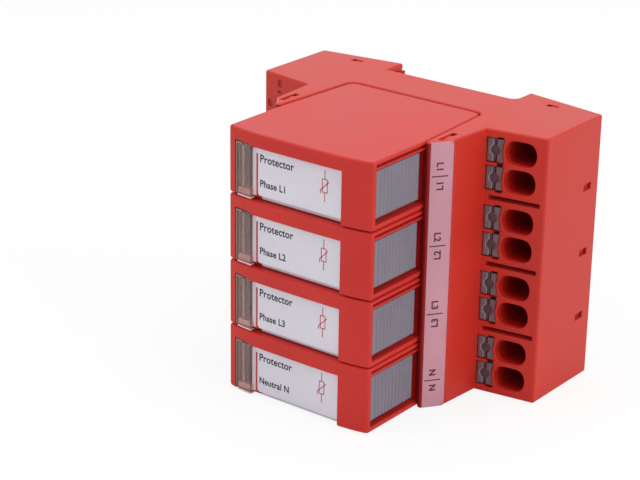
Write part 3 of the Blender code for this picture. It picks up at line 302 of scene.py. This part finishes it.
# Noses of the wings: the same polyamide, rubbed dull by the modules that slide past them, and darkened with
# painted shade from those modules
noseShadeRed = mouldedPlastic("painted shade polyamide nose", {
    "dark": "8E140C", "light": "9A1A12", "driftSize": 30.0, "grainSize": 0.5, "bump": 0.16,
    "roughness": 0.55, "ior": 1.53, "specular": 0.25, "corner": 0.1})
# Clamps' sleeves inside the wire entries: polyamide with painted shade, dark towards the spring, so the holes
# read deep
sleeveShadeMaroon = mouldedPlastic("painted shade polyamide sleeve", {
    "dark": "981117", "light": "C01C12", "driftSize": 30.0, "grainSize": 0.5, "bump": 0.1,
    "roughness": 0.5, "ior": 1.53, "specular": 0.3, "corner": 0.0, "shadeFade": (24.0, 30.2)})
# Status flags: ABS in an olive green, matt, to be read through the clear window
flagGreen = mouldedPlastic("moulded abs flag green", {
    "dark": "5C6E50", "light": "66785A", "driftSize": 6.0, "grainSize": 0.4, "bump": 0.08,
    "roughness": 0.5, "ior": 1.54, "corner": 0.1})
# Modules' rear plates and the floors of the blind slots: polyamide with a coarser, darker finish; on the
# slots' floors the darker red is painted shade
plateAndSlotShadeRed = mouldedPlastic("moulded polyamide plate red and painted slot shade", {
    "dark": "AC221D", "light": "B82924", "driftSize": 20.0, "grainSize": 0.5, "bump": 0.16,
    "roughness": 0.5, "ior": 1.53, "corner": 0.2})
# Varistor: a dipped epoxy coat, smooth and slightly uneven
epoxyBlue = mouldedPlastic("dipped epoxy blue", {
    "dark": "27518C", "light": "2F5F9E", "driftSize": 7.0, "grainSize": 2.0, "bump": 0.3,
    "roughness": 0.25, "ior": 1.55, "corner": 0.4})


def rolledMetal(name, settings):
    # rolled strip: fine lines along the rolling direction
    made, tree = newMaterial(name)
    place = addNode(tree, "ShaderNodeTexCoord")
    stretch = addNode(tree, "ShaderNodeMapping", {"Scale": (1.0, 1.0, settings["stretch"])},
                      {"Vector": place.outputs["Object"]})
    lines = addNode(tree, "ShaderNodeTexNoise", {"Scale": 1000 / settings["lineSize"], "Detail": 2.0},
                    {"Vector": stretch.outputs["Vector"]})
    tone = addNode(tree, "ShaderNodeValToRGB", links={"Fac": lines.outputs["Fac"]})
    tone.color_ramp.elements[0].color = hexColor(settings["dark"])
    tone.color_ramp.elements[1].color = hexColor(settings["light"])
    gloss = addNode(tree, "ShaderNodeMapRange", {"To Min": settings["roughness"] + metalSpread[0],
                                                 "To Max": settings["roughness"] + metalSpread[1]},
                    {"Value": lines.outputs["Fac"]})
    shader = addNode(tree, "ShaderNodeBsdfPrincipled", {"Metallic": 1.0},
                     {"Base Color": tone.outputs["Color"], "Roughness": gloss.outputs["Result"]})
    setOutput(tree, shader.outputs["BSDF"])
    return made


# Bare copper bars, slightly tarnished, and tin-plated brass blades
rolledCopper = rolledMetal("rolled copper", {
    "dark": "B0694A", "light": "D0875F", "lineSize": 1.2, "stretch": 12.0, "roughness": 0.34})
tinnedBrass = rolledMetal("tin plated brass", {
    "dark": "B9B5AA", "light": "D5D2C8", "lineSize": 1.0, "stretch": 12.0, "roughness": 0.3})


mottleSize = 0.4          # mm


def printInk(name, code, roughness):
    # pad-printed ink: flat, dense, with a faint mottle where the film is thin
    made, tree = newMaterial(name)
    place = addNode(tree, "ShaderNodeTexCoord")
    mottle = addNode(tree, "ShaderNodeTexNoise", {"Scale": 1000 / mottleSize, "Detail": 2.0},
                     {"Vector": place.outputs["Object"]})
    tone = addNode(tree, "ShaderNodeHueSaturation", {"Color": hexColor(code)})
    level = addNode(tree, "ShaderNodeMapRange", {"To Min": 0.85, "To Max": 1.15},
                    {"Value": mottle.outputs["Fac"]})
    tree.links.new(level.outputs["Result"], tone.inputs["Value"])
    shader = addNode(tree, "ShaderNodeBsdfPrincipled", {"Roughness": roughness, "IOR": 1.5},
                     {"Base Color": tone.outputs["Color"]})
    setOutput(tree, shader.outputs["BSDF"])
    return made


# Slate on the labels, maroon on the strips and red for the sign, all half matt
inkSlate = printInk("pad print slate ink", "26263A", 0.5)
inkMaroon = printInk("pad print maroon ink", "541A30", 0.5)
inkRed = printInk("pad print red ink", "C8414A", 0.5)


def clearPolycarbonate(name, settings):
    # clear polycarbonate, polished: refracts, with a faint smoky tint and soft flow lines
    made, tree = newMaterial(name)
    place = addNode(tree, "ShaderNodeTexCoord")
    flow = addNode(tree, "ShaderNodeTexNoise", {"Scale": 1000 / settings["flowSize"], "Detail": 1.0},
                   {"Vector": place.outputs["Object"]})
    bump = addNode(tree, "ShaderNodeBump", {"Strength": 0.1, "Distance": flowRise * mm},
                   {"Height": flow.outputs["Fac"]})
    tint = addNode(tree, "ShaderNodeValToRGB", links={"Fac": flow.outputs["Fac"]})
    tint.color_ramp.elements[0].color = hexColor(settings["dark"])
    tint.color_ramp.elements[1].color = hexColor(settings["light"])
    shader = addNode(tree, "ShaderNodeBsdfPrincipled",
                     {"Roughness": settings["roughness"], "IOR": 1.585,
                      "Transmission Weight": settings["clarity"], "Specular IOR Level": settings["specular"]},
                     {"Base Color": tint.outputs["Color"], "Normal": bump.outputs["Normal"]})
    setOutput(tree, shader.outputs["BSDF"])
    return made


# The window: water clear with a warm tint, and low gloss so that the parts behind it stay readable
windowClear = clearPolycarbonate("clear polycarbonate window", {
    "dark": "EBD2CB", "light": "F5E1DA", "flowSize": 3.0, "roughness": 0.05, "clarity": 0.97,
    "specular": 0.08})

# Bezel behind the window: dull mauve grey styrene
bezelMauve = mouldedPlastic("moulded styrene bezel mauve", {
    "dark": "BA8090", "light": "C68B9B", "driftSize": 6.0, "grainSize": 0.4, "bump": 0.06,
    "roughness": 0.5, "ior": 1.59, "corner": 0.08})
# Rim of the window: frosted acrylic in sand colour, a painted highlight along the window's edges
rimHighlightSand = mouldedPlastic("painted highlight window rim", {
    "dark": "A08478", "light": "AC9084", "driftSize": 6.0, "grainSize": 0.4, "bump": 0.04,
    "roughness": 0.35, "ior": 1.49, "corner": 0.05})
# Blind, edge and filter behind the window: matt styrene, from near black brown to olive; the brown is painted
# shade in the window's right side, the olive is the green flag painted as seen in shade with red light
# bounced on it
blindShadeBrown = mouldedPlastic("painted shade blind brown", {
    "dark": "2E1713", "light": "381E19", "driftSize": 6.0, "grainSize": 0.4, "bump": 0.06,
    "roughness": 0.55, "ior": 1.59, "corner": 0.08})
edgeShadeOlive = mouldedPlastic("painted shade edge olive", {
    "dark": "8E776A", "light": "998275", "driftSize": 6.0, "grainSize": 0.4, "bump": 0.06,
    "roughness": 0.5, "ior": 1.59, "corner": 0.08})
filterShadeOlive = mouldedPlastic("painted shade filter olive", {
    "dark": "6E554C", "light": "795E54", "driftSize": 6.0, "grainSize": 0.4, "bump": 0.06,
    "roughness": 0.4, "ior": 1.59, "corner": 0.08})
# Foot of the window: frosted acrylic that lets the red behind it glow through as pale pink
footPink = mouldedPlastic("frosted acrylic window foot", {
    "dark": "F0C2C6", "light": "F8CED1", "driftSize": 3.0, "grainSize": 0.4, "bump": 0.04,
    "roughness": 0.3, "ior": 1.49, "corner": 0.05})
# Edge of the label's film: even and smooth, pale pink, a painted reflection of the red beside it
filmReflectionPink = mouldedPlastic("label film pink reflection", {
    "dark": "E3CBD3", "light": "E9D2DA", "driftSize": 14.0, "grainSize": 0.5, "bump": 0.03,
    "roughness": 0.3, "ior": 1.54, "corner": 0.05})
# Pale line behind the window: frosted clear acrylic, a painted highlight where a rib's edge catches light
highlightLinePink = mouldedPlastic("frosted acrylic light guide", {
    "dark": "DCC6C9", "light": "E6D2D5", "driftSize": 4.0, "grainSize": 0.4, "bump": 0.04,
    "roughness": 0.3, "ior": 1.49, "corner": 0.05})

nodeLooks = {
    "base_housing": polyamideRed, "rear_cover": polyamideCover, "rail_foot": acetalBlack,
    "marking_strip": frostedPink, "earth_bar": rolledCopper, "line_bar": rolledCopper,
    "line_pusher": pusherGrey, "earth_pusher": pusherGrey, "shell": polyamideShell, "plate": plateAndSlotShadeRed,
    "window": windowClear, "label": labelWhite, "grip": polycarbonateGrey, "varistor": epoxyBlue,
    "blade": tinnedBrass, "flag": flagGreen,
}
for nodeName, nodeObject in nodes.items():
    short = nodeName.split("_", 2)[2] if nodeName.startswith("module_") else nodeName
    look = next(material for key, material in nodeLooks.items() if short.startswith(key))
    for slotIndex in range(len(nodeObject.material_slots)):
        nodeObject.material_slots[slotIndex].material = look
print("materials assigned")


# Marking strips: thin plates let into the wings' slanted faces
strip = {
    "front": (24.27, 50.23), "rear": (27.36, 45.93), "neckEnd": (27.45, 44.78),   # (x, depth) in mm
    "thick": 0.6, "low": 0.15, "high": 71.85, "edge": 0.1}
# A wing's front edge as (x, depth) in mm, from the channel round to the strip, outside the housing's face
# and then back inside it
nose = {
    "outline": ((22.81, 49.94), (22.92, 50.32), (23.19, 50.56), (23.55, 50.65), (23.83, 50.65),
                (23.96, 50.63), (24.07, 50.57), (24.15, 50.48), (24.29, 50.27), (24.2, 50.2),
                (24.05, 50.38), (23.8, 50.5), (23.5, 50.45), (23.2, 50.3), (23.0, 50.1), (22.95, 49.94)),
    "low": 0.35, "high": 71.65}
# Plain conductor marks, each printed twice about a line, sizes in mm
stripPrint = {
    "letter": 1.78, "inner": 1.2, "lineLength": 4.3, "lineWidth": 0.3, "lineCorner": 0.08, "film": 0.02,
    "bold": 0.085, "spacing": 1.06, "top": 63.0, "pitch": 18.43, "marks": ("L1", "L2", "L3", "N")}


def textPiece(name, words, size, material, body, settings, align="LEFT"):
    # flat printed words on the plane z = 0, thickened to a bold stroke
    curve = bpy.data.curves.new(name, "FONT")
    curve.body = words
    curve.size = size * mm
    curve.align_x = align
    curve.extrude = settings["film"] / 2 * mm
    curve.offset = settings["bold"] * mm
    curve.space_character = settings["spacing"]
    curve.resolution_u = 5
    curve.materials.append(material)
    piece = toObject(name, curve)
    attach(piece, body)
    return piece


def stripFrame(side):
    # unit vectors of a slanted face: across it from front to rear, and out of it
    a, b = strip["front"], strip["rear"]
    across = Vector((side * (b[0] - a[0]), a[1] - b[1], 0)).normalized()
    out = Vector((side * abs(across.y), -abs(across.x), 0))
    return across, out


for side, stripName in ((1, "marking_strip_line"), (-1, "marking_strip_earth")):
    across, out = stripFrame(side)
    front, rear, neckEnd = [Vector((side * x, yAt(depth), 0)) for x, depth in
                            (strip["front"], strip["rear"], strip["neckEnd"])]
    corners = [front, rear, neckEnd, front - out * strip["thick"]]
    outline = [tuple(corner.xy) for corner in corners]
    form = extruded(outline, strip["low"], strip["high"])
    piece = toObject(stripName + "_plate", meshFrom(stripName, form))
    dress(piece, frostedPink, "base", strip["edge"], 2, [stripName])
    # The wing's nose is darkened with painted shade from the module beside it
    edge = [(side * x, yAt(depth)) for x, depth in nose["outline"]]
    piece = toObject(stripName.replace("marking_strip", "wing_nose"),
                     meshFrom("wing_nose", extruded(edge, nose["low"], nose["high"])))
    dress(piece, noseShadeRed, "base")
    middle = (front + rear) / 2
    rightward = across * side
    for index, mark in enumerate(stripPrint["marks"]):
        pole = index + 1
        height = stripPrint["top"] - stripPrint["pitch"] * index
        for turn, label in ((-1, "upper"), (1, "lower")):
            words = textPiece(f"{stripName}_mark_{pole}_{label}", mark, stripPrint["letter"] / capShare,
                              inkMaroon, "base", stripPrint, "RIGHT")
            reading = Vector((0, 0, turn))
            rising = rightward * -turn
            start = Vector((0, 0, height - turn * stripPrint["inner"]))
            place = middle + rising * -stripPrint["letter"] / 2 + start
            words.matrix_world = Matrix.Translation((place + out * stripPrint["film"] / 2) * mm) @ Matrix(
                (reading, rising, out)).transposed().to_4x4()
        halfLong, halfWide = stripPrint["lineLength"] / 2, stripPrint["lineWidth"] / 2
        bar = roundedBox(-halfLong, halfLong, -halfWide, halfWide, stripPrint["lineCorner"], 3)
        form = extruded(bar, 0.0, stripPrint["film"])
        line = toObject(f"{stripName}_line_{pole}", meshFrom("line", form))
        line.matrix_world = Matrix.Translation((middle + Vector((0, 0, height))) * mm) @ Matrix(
            (rightward, Vector((0, 0, 1)), out)).transposed().to_4x4()
        dress(line, inkMaroon, "base")
print("marking strips done")


# Inside each wire entry: a sleeve with painted shade, a funnel on towards the clamp, open on its outer
# side, and a stop behind the wire chamber. The opening is in degrees, other sizes in mm
entry = {"x": 37.9, "radius": 4.3, "height": 6.6, "squareness": 6, "pitch": 7.5, "wall": 0.2, "clear": 0.02,
         "depths": (14.5, 20.55), "stop": (11.1, 11.4), "stopReach": 0.1, "sleeve": (20.6, 29.5),
         "sleeveWall": 0.06, "opening": 36, "steps": 24}


def funnelOutline(grow, opening=0):
    # an entry's outline without the part within the opening, about its own middle
    limit, power = entry["height"] / 2, entry["squareness"]
    points = []
    for i in range(entry["steps"] + (1 if opening else 0)):
        angle = math.radians(opening + (360 - 2 * opening) * i / entry["steps"])
        high = entry["radius"] * math.sin(angle)
        shrink = (1 + (abs(high) / limit) ** power) ** (1 / power)
        points.append(((entry["radius"] + grow) * math.cos(angle), high / shrink * (1 + grow / limit)))
    return points


def halfRing(first, second):
    # section between two growths of the entry's outline, open on its outer side
    return funnelOutline(first, entry["opening"]) + funnelOutline(second, entry["opening"])[::-1]


clear = entry["clear"]
entryPieces = (
    ("wire_funnel", halfRing(clear, entry["wall"]), entry["depths"], polyamideCover),
    ("wire_stop", funnelOutline(entry["wall"] + entry["stopReach"]), entry["stop"], polyamideCover),
    ("wire_sleeve", halfRing(-clear, -clear - entry["sleeveWall"]), entry["sleeve"], sleeveShadeMaroon))
for side, pole in [(1, number) for number in range(1, poleCount + 1)] + [(-1, earthPole)]:
    label = "line" if side > 0 else "earth"
    for letter, shift in (("a", entry["pitch"] / 2), ("b", -entry["pitch"] / 2)):
        middle = poleFloor(pole) + polePitch / 2 + shift
        for name, section, (deep, shallow), plastic in entryPieces:
            outline = [(side * (entry["x"] + a), middle + b) for a, b in section]
            form = extruded(outline, yAt(shallow), yAt(deep), "y")
            piece = toObject(f"{name}_{label}_{pole}{letter}", meshFrom(name, form))
            dress(piece, plastic, "base")
print("wire entries done")


# Inlays of the release pushers: painted shade in the slot and in the dimple for the screwdriver, and a
# painted highlight as a pale rim on the slot's edge. The arc's start and sweep are in degrees, other sizes in
# mm
inlay = {"middle": 30.886, "halfHeight": 2.94, "slot": (-0.2, 0.45), "slotFront": 30.9,
         "dimpleFront": 30.93, "back": 30.7, "radius": 1.28, "rim": (1.36, 1.62), "arc": (112, 136),
         "line": (-0.76, -0.5), "lineStart": 1.42, "proud": 0.02, "sunk": 0.1, "steps": 20}
# The housing's slanted face by one of its points and its fall, and how far behind it the pushers end
pusherFace = {"x": 28.4, "depth": 32.1, "fall": 0.1506, "sink": 0.3}


def pusherFront(x):
    # depth of the pushers' slanted fronts
    return pusherFace["depth"] - pusherFace["fall"] * (abs(x) - pusherFace["x"]) - pusherFace["sink"]


for pusherName in [name for name in nodes if "_pusher_" in name]:
    side = 1 if pusherName.startswith("line") else -1
    low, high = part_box(pusherName)
    middleZ = (low[2] + high[2]) / 2 / mm
    middle = side * inlay["middle"]
    near, far = ends([inlay["middle"] + a for a in inlay["slot"]], side)
    form = boxForm(near, far, inlay["back"], inlay["slotFront"],
                   middleZ - inlay["halfHeight"], middleZ + inlay["halfHeight"])
    piece = toObject(f"{pusherName}_slot", meshFrom("pusher_slot", form))
    dress(piece, pusherSlotShade, pusherName)
    ring = [math.radians(360 * i / inlay["steps"]) for i in range(inlay["steps"])]
    disc = [(middle + inlay["radius"] * math.cos(a), middleZ + inlay["radius"] * math.sin(a)) for a in ring]
    form = extruded(disc, yAt(inlay["dimpleFront"]), yAt(inlay["back"]), "y")
    piece = toObject(f"{pusherName}_dimple", meshFrom("pusher_dimple", form))
    dress(piece, pusherDimpleShade, pusherName)
    inner, outer = inlay["rim"]
    start, sweep = inlay["arc"]
    arc = [math.radians(start + sweep * i / inlay["steps"]) for i in range(inlay["steps"] + 1)]
    bow = [(inner * math.cos(a), inner * math.sin(a)) for a in arc]
    bow += [(outer * math.cos(a), outer * math.sin(a)) for a in reversed(arc)]
    (left, right), start, end = inlay["line"], inlay["lineStart"], inlay["halfHeight"]
    bars = [[(left, low), (right, low), (right, high), (left, high)]
            for low, high in ((start, end), (-end, -start))]
    forms = []
    for outline in [bow] + bars:
        form = extruded([(side * (inlay["middle"] + a), middleZ + b) for a, b in outline], 0.0, 1.0, "y")
        for vert in form.verts:
            sink = inlay["sunk"] if vert.co.y > mm / 2 else -inlay["proud"]
            vert.co.y = (yAt(pusherFront(vert.co.x / mm)) + sink) * mm
        forms.append(form)
    piece = toObject(f"{pusherName}_rim", meshFrom("pusher_rim", merged(forms)))
    dress(piece, pusherEdgeHighlight, pusherName)
print("pusher inlays done")


# Status windows: a clear tray, proud of the label on its inner side, with lips and a rim, in mm. A lip has
# x from and to, and height from and to
window = {
    "left": -19.75, "right": -14.52, "low": 0.6, "high": 14.38, "frontLeft": 71.62, "frontRight": 72.15,
    "back": 70.42, "skin": 0.5, "leftWall": 0.4, "rightWall": 0.32, "foot": 0.74, "top": 0.55, "edge": 0.15,
    "lips": ((-19.3, -14.52, 0.16, 0.62), (-19.7, -17.6, 13.95, 14.38)), "lipProud": 0.02, "lipEdge": 0.08,
    "rim": (-19.76, -19.5), "rimLow": 0.7, "rimTop": 0.1, "rimProud": 0.03, "trimEdge": 0.05}
# What stands behind the clear cover and beside it: x from and to, depth from and to, height from and to,
# in mm, and its plastic
# The edge, the flag's cover and the side piece are coloured as painted shade of the view through the window
windowInside = {
    "window_edge": ((-19.3, -18.9), (70.13, 70.9), (2.7, 13.75), edgeShadeOlive),
    "window_bezel": ((-18.85, -17.8), (70.13, 70.36), (2.5, 14.2), bezelMauve),
    "status_filter": ((-17.75, -16.3), (70.13, 70.3), (2.5, 13.9), filterShadeOlive),
    "window_blind": ((-15.75, -14.9), (70.13, 70.7), (2.7, 13.7), blindShadeBrown),
    "light_guide": ((-17.8, -17.45), (70.44, 71.0), (2.7, 13.4), highlightLinePink),
    "window_foot": ((-19.25, -14.88), (70.2, 71.1), (0.76, 2.3), footPink),
    "window_toe": ((-14.45, -13.3), (70.2, 71.45), (1.3, 2.75), footPink),
    "label_film": ((-14.38, -13.27), (71.6, 71.63), (2.85, 13.7), filmReflectionPink),
    "label_foot": ((-12.3, 13.55), (70.1, 70.29), (0.2, 1.7), labelWhite),
}


for pole in range(1, poleCount + 1):
    body = f"module_{pole}"
    floorZ = poleFloor(pole)
    left, right, back = window["left"], window["right"], yAt(window["back"])
    frontLeft, frontRight = yAt(window["frontLeft"]), yAt(window["frontRight"])
    tray = extruded([(left, frontLeft), (right, frontRight), (right, back), (left, back)],
                    floorZ + window["low"], floorZ + window["high"])
    skin, inLeft, inRight = window["skin"], left + window["leftWall"], right - window["rightWall"]
    past = back + 1          # clear of the tray's open back
    corners = [(inLeft, frontLeft + skin), (inRight, frontRight + skin), (inRight, past), (inLeft, past)]
    hollow = extruded(corners, floorZ + window["foot"], floorZ + window["high"] - window["top"])
    piece = toObject(f"status_window_{pole}", meshFrom("status_window", carved(tray, [hollow])))
    dress(piece, windowClear, body, window["edge"], 3, [f"module_{pole}_window"])
    slope = (frontRight - frontLeft) / (right - left)
    for place, (near, far, low, high) in zip(("low", "high"), window["lips"]):
        fronts = [frontLeft + slope * (x - left) - window["lipProud"] for x in (near, far)]
        corners = [(near, fronts[0]), (far, fronts[1]), (far, back), (near, back)]
        lip = extruded(corners, floorZ + low, floorZ + high)
        piece = toObject(f"window_lip_{place}_{pole}", meshFrom("window_lip", lip))
        dress(piece, footPink if place == "low" else rimHighlightSand, body, window["lipEdge"], 2)
    # The rim, like the upper lip, is a painted highlight on the window's edges
    rim = boxForm(*window["rim"], window["back"], window["frontLeft"] + window["rimProud"],
                  floorZ + window["rimLow"], floorZ + window["high"] - window["rimTop"])
    piece = toObject(f"window_rim_{pole}", meshFrom("window_rim", rim))
    dress(piece, rimHighlightSand, body, window["trimEdge"], 2)
    for name, (across, depths, heights, plastic) in windowInside.items():
        form = boxForm(*across, *depths, floorZ + heights[0], floorZ + heights[1])
        piece = toObject(f"{name}_{pole}", meshFrom(name, form))
        onLabel = name.startswith("label")
        dress(piece, plastic, body,
              0 if onLabel else window["trimEdge"], 2)
print("status windows done")


# Catches of the release latches, in the rear of the bays beside each wing, in mm; their dark maroon is
# painted shade
catch = {"x": (21.5, 22.3), "depth": (49.04, 49.5), "height": (2.0, 15.5), "edge": 0.12}
for pole in range(1, poleCount + 1):
    for side, label in ((1, "right"), (-1, "left")):
        near, far = ends(catch["x"], side)
        form = boxForm(near, far, *catch["depth"], *[poleFloor(pole) + z for z in catch["height"]])
        piece = toObject(f"latch_catch_shade_{label}_{pole}", meshFrom("latch_catch_shade", form))
        dress(piece, catchShadeMaroon, f"module_{pole}", catch["edge"], 2)
print("latch catches done")


# Moulded tongues and sills that close most of each window and slot in the housing, in mm
tongue = {
    "latch": {"x": (43.3, 45.012), "depth": (7.3, 11.3), "heights": (54.0, 36.0, 18.0),
              "from": 0.95, "to": 1.85},
    "end": {"middle": 31.5, "depth": (5.1, 7.2), "flush": ((-2.3, -1.65), (1.65, 2.3)), "low": (-0.5, 1.5),
            "thick": 1.5, "proud": 0.01, "sink": 0.25},
    "wing": {"x": (24.0, 25.8), "depth": (42.3, 47.4), "sinks": (0.25, 0.8), "thick": 2.0},
    "probe": {"slot": (39.1, 1.5, 30.14), "notch": (42.8, 1.7, 29.58), "back": 28.7,
              "drops": ((1.4, 3.5), (4.3, 5.4)), "notchDrops": ((7.6, 9.8),), "poles": (1, 3, 4)}}

for side, label in ((1, "line"), (-1, "earth")):
    part = tongue["latch"]
    for index, height in enumerate(part["heights"]):
        for turn, place in ((1, "upper"), (-1, "lower")):
            low, high = ends((part["from"], part["to"]), turn)
            form = boxForm(*ends(part["x"], side), *part["depth"], height + low, height + high)
            piece = toObject(f"latch_sill_{place}_{label}_{index + 1}", meshFrom("latch_sill", form))
            dress(piece, polyamideSeam, "base")
    for top, place in ((True, "top"), (False, "foot")):
        part = tongue["end"]
        forms = []
        spans = [(span, -part["proud"]) for span in part["flush"]] + [(part["low"], part["sink"])]
        for (low, high), sink in spans:
            levels = (stackHeight - part["thick"], stackHeight - sink) if top else (sink, part["thick"])
            middle = side * part["middle"]
            forms.append(boxForm(middle + low, middle + high, *part["depth"], *levels))
        piece = toObject(f"end_tongue_{place}_{label}", meshFrom("end_tongue", merged(forms)))
        dress(piece, polyamideSeam, "base")
        part = tongue["wing"]
        near, far = part["depth"]
        profile = [(yAt(near), part["sinks"][0]), (yAt(far), part["sinks"][1]),
                   (yAt(far), part["thick"]), (yAt(near), part["thick"])]
        profile = [(y, stackHeight - sink if top else sink) for y, sink in profile]
        piece = toObject(f"wing_tongue_{place}_{label}",
                         meshFrom("wing_tongue", extruded(profile, *ends(part["x"], side), "x")))
        dress(piece, polyamideRed, "base")
# The slots' floors take the darker plate red as painted shade in the slots
part = tongue["probe"]
for pole in part["poles"]:
    top = poleFloor(pole) + polePitch
    forms = []
    for key, drops in (("slot", part["drops"]), ("notch", part["notchDrops"])):
        x, wide, front = part[key]
        for start, end in drops:
            forms.append(boxForm(-x - wide / 2, -x + wide / 2, part["back"], front, top - end, top - start))
    piece = toObject(f"probe_slot_floor_{pole}", meshFrom("probe_slot_floor", merged(forms)))
    dress(piece, plateAndSlotShadeRed, "base")
print("tongues and sills done")


# Print on the label plates: a plain word, the phase and the sign for a varistor, all generic. Each line of
# words has its x, height and capital height, the rib its x, depths and heights, in mm
labelPrint = {
    "plane": 71.61, "film": 0.02, "bold": 0.06, "spacing": 1.04, "condense": 0.9,
    "first": (-12.1, 10.45, 2.1), "second": (-12.05, 4.05, 1.85),
    "rib": (-13.19, -12.67, 70.2, 71.5, 1.3, 12.5), "ribEdge": 0.05}
sign = {"x": 8.3, "low": 4.8, "high": 13.0, "line": 0.25, "body": (1.5, 3.4), "slant": 2.6, "rise": 1.3,
        "tail": 2.2}
labelWords = {1: "Phase L1", 2: "Phase L2", 3: "Phase L3", 4: "Neutral N"}


def strokeForm(start, end, width):
    # flat stroke between two (x, z) points with square ends
    a, b = Vector(start), Vector(end)
    aside = (b - a).normalized().orthogonal() * width / 2
    return [tuple(a - aside), tuple(b - aside), tuple(b + aside), tuple(a + aside)]


for pole in range(1, poleCount + 1):
    body = f"module_{pole}"
    floorZ = poleFloor(pole)
    upright = Matrix(((1, 0, 0), (0, 0, -1), (0, 1, 0))).to_4x4()
    for key, words in (("first", "Protector"), ("second", labelWords[pole])):
        x, z, capHeight = labelPrint[key]
        piece = textPiece(f"label_{key}_{pole}", words, capHeight / capShare, inkSlate, body, labelPrint)
        place = Vector((x, yAt(labelPrint["plane"]), floorZ + z))
        piece.matrix_world = Matrix.Translation(place * mm) @ upright
        piece.matrix_world = piece.matrix_world @ Matrix.Diagonal((labelPrint["condense"], 1, 1, 1))
    x0, x1, d0, d1, z0, z1 = labelPrint["rib"]
    form = boxForm(x0, x1, d0, d1, floorZ + z0, floorZ + z1)
    piece = toObject(f"label_rib_{pole}", meshFrom("label_rib", form))
    dress(piece, polyamideShell, body, labelPrint["ribEdge"], 2)
    x, middleZ = sign["x"], (sign["low"] + sign["high"]) / 2
    left, right = x - sign["body"][0] / 2, x + sign["body"][0] / 2
    low, high = middleZ - sign["body"][1] / 2, middleZ + sign["body"][1] / 2
    slantLeft, slantRight = x - sign["slant"] / 2, x + sign["slant"] / 2
    slantLow, slantHigh = middleZ - sign["rise"], middleZ + sign["rise"]
    strokes = (((x, sign["low"]), (x, low)), ((x, high), (x, sign["high"])),
               ((left, low), (left, high)), ((right, low), (right, high)),
               ((left, high), (right, high)), ((left, low), (right, low)),
               ((slantLeft, slantLow), (slantRight, slantHigh)),
               ((slantLeft, slantLow), (slantLeft, middleZ - sign["tail"])))
    face, half = yAt(labelPrint["plane"]), labelPrint["film"] / 2
    forms = [extruded([(a, floorZ + b) for a, b in strokeForm(start, end, sign["line"])],
                      face - half, face + half, "y") for start, end in strokes]
    piece = toObject(f"label_symbol_{pole}", meshFrom("label_symbol", merged(forms)))
    dress(piece, inkRed, body)
print("labels printed")


# The camera at the photograph's viewing angle, from the fit to its corners: metres and unit vectors
cameraPose = {
    "place": (0.283726, -0.393323, 0.227812), "right": (0.787708, 0.615881, 0.014403),
    "forward": (-0.568454, 0.735663, -0.368320), "lens": 111.93}
camera = bpy.data.objects.new("camera", bpy.data.cameras.new("camera"))
bpy.context.scene.collection.objects.link(camera)
camera.data.lens = cameraPose["lens"]
camera.data.sensor_width = 36.0
camera.data.clip_start = 0.01
right = Vector(cameraPose["right"]).normalized()
back = -Vector(cameraPose["forward"]).normalized()
up = back.cross(right).normalized()
right = up.cross(back).normalized()
turn = Matrix((right, up, back)).transposed().to_4x4()
camera.matrix_world = Matrix.Translation(cameraPose["place"]) @ turn
bpy.context.scene.camera = camera


def softbox(name, place, target, size, power):
    # soft studio light: place, target and size in metres, power in watts
    light = bpy.data.lights.new(name, "AREA")
    light.shape = "RECTANGLE"
    light.size, light.size_y = size
    light.energy = power
    holder = bpy.data.objects.new(name, light)
    bpy.context.scene.collection.objects.link(holder)
    holder.location = place
    holder.rotation_euler = (Vector(target) - Vector(place)).to_track_quat("-Z", "Y").to_euler()


softbox("top box", (0.0, 0.05, 0.9), (0, 0, 0), (0.9, 0.9), 3.6)
softbox("right box", (0.85, 0.05, 0.35), (0, 0, 0.04), (0.6, 0.5), 2.25)
softbox("front box", (-0.6, -0.85, 0.75), (0, 0, 0.04), (0.6, 0.5), 1.6)

# The world lights the part at half strength and is white where the camera, gloss or glass sees it. The
# floor is a wide sheet of white paper, half of it given in metres: matt for the shadow, with a glow that
# only the camera and glass see
studio = {"lit": 0.5, "seen": 1.0, "paper": (0.86, 0.86, 0.86, 1), "glow": 1.05, "glowShare": 0.8,
          "halfFloor": 3.0}
world = bpy.data.worlds.new("studio")
bpy.context.scene.world = world
world.use_nodes = True
world.node_tree.nodes.clear()
tree = world.node_tree
path = addNode(tree, "ShaderNodeLightPath")
seen = addNode(tree, "ShaderNodeMath", operation="MAXIMUM",
               links={0: path.outputs["Is Camera Ray"], 1: path.outputs["Is Glossy Ray"]})
seen = addNode(tree, "ShaderNodeMath", operation="MAXIMUM",
               links={0: seen.outputs[0], 1: path.outputs["Is Transmission Ray"]})
level = addNode(tree, "ShaderNodeMapRange", {"To Min": studio["lit"], "To Max": studio["seen"]},
                {"Value": seen.outputs[0]})
sky = addNode(tree, "ShaderNodeBackground", {"Color": (1, 1, 1, 1)}, {"Strength": level.outputs["Result"]})
addNode(tree, "ShaderNodeOutputWorld", links={"Surface": sky.outputs["Background"]})

floorForm = bmesh.new()
bmesh.ops.create_grid(floorForm, x_segments=2, y_segments=2, size=studio["halfFloor"])
floor = toObject("floor", meshFrom("floor", floorForm))
floorPaper, tree = newMaterial("white paper floor")
path = addNode(tree, "ShaderNodeLightPath")
seen = addNode(tree, "ShaderNodeMath", operation="MAXIMUM",
               links={0: path.outputs["Is Camera Ray"], 1: path.outputs["Is Transmission Ray"]})
share = addNode(tree, "ShaderNodeMath", {1: studio["glowShare"]}, {0: seen.outputs[0]}, operation="MULTIPLY")
matte = addNode(tree, "ShaderNodeBsdfDiffuse", {"Color": studio["paper"]})
glow = addNode(tree, "ShaderNodeEmission", {"Color": (1, 1, 1, 1), "Strength": studio["glow"]})
mixed = addNode(tree, "ShaderNodeMixShader",
                links={0: share.outputs[0], 1: matte.outputs[0], 2: glow.outputs[0]})
setOutput(tree, mixed.outputs[0])
floor.data.materials.append(floorPaper)
bpy.context.scene.view_settings.view_transform = "Standard"
print("stage set")
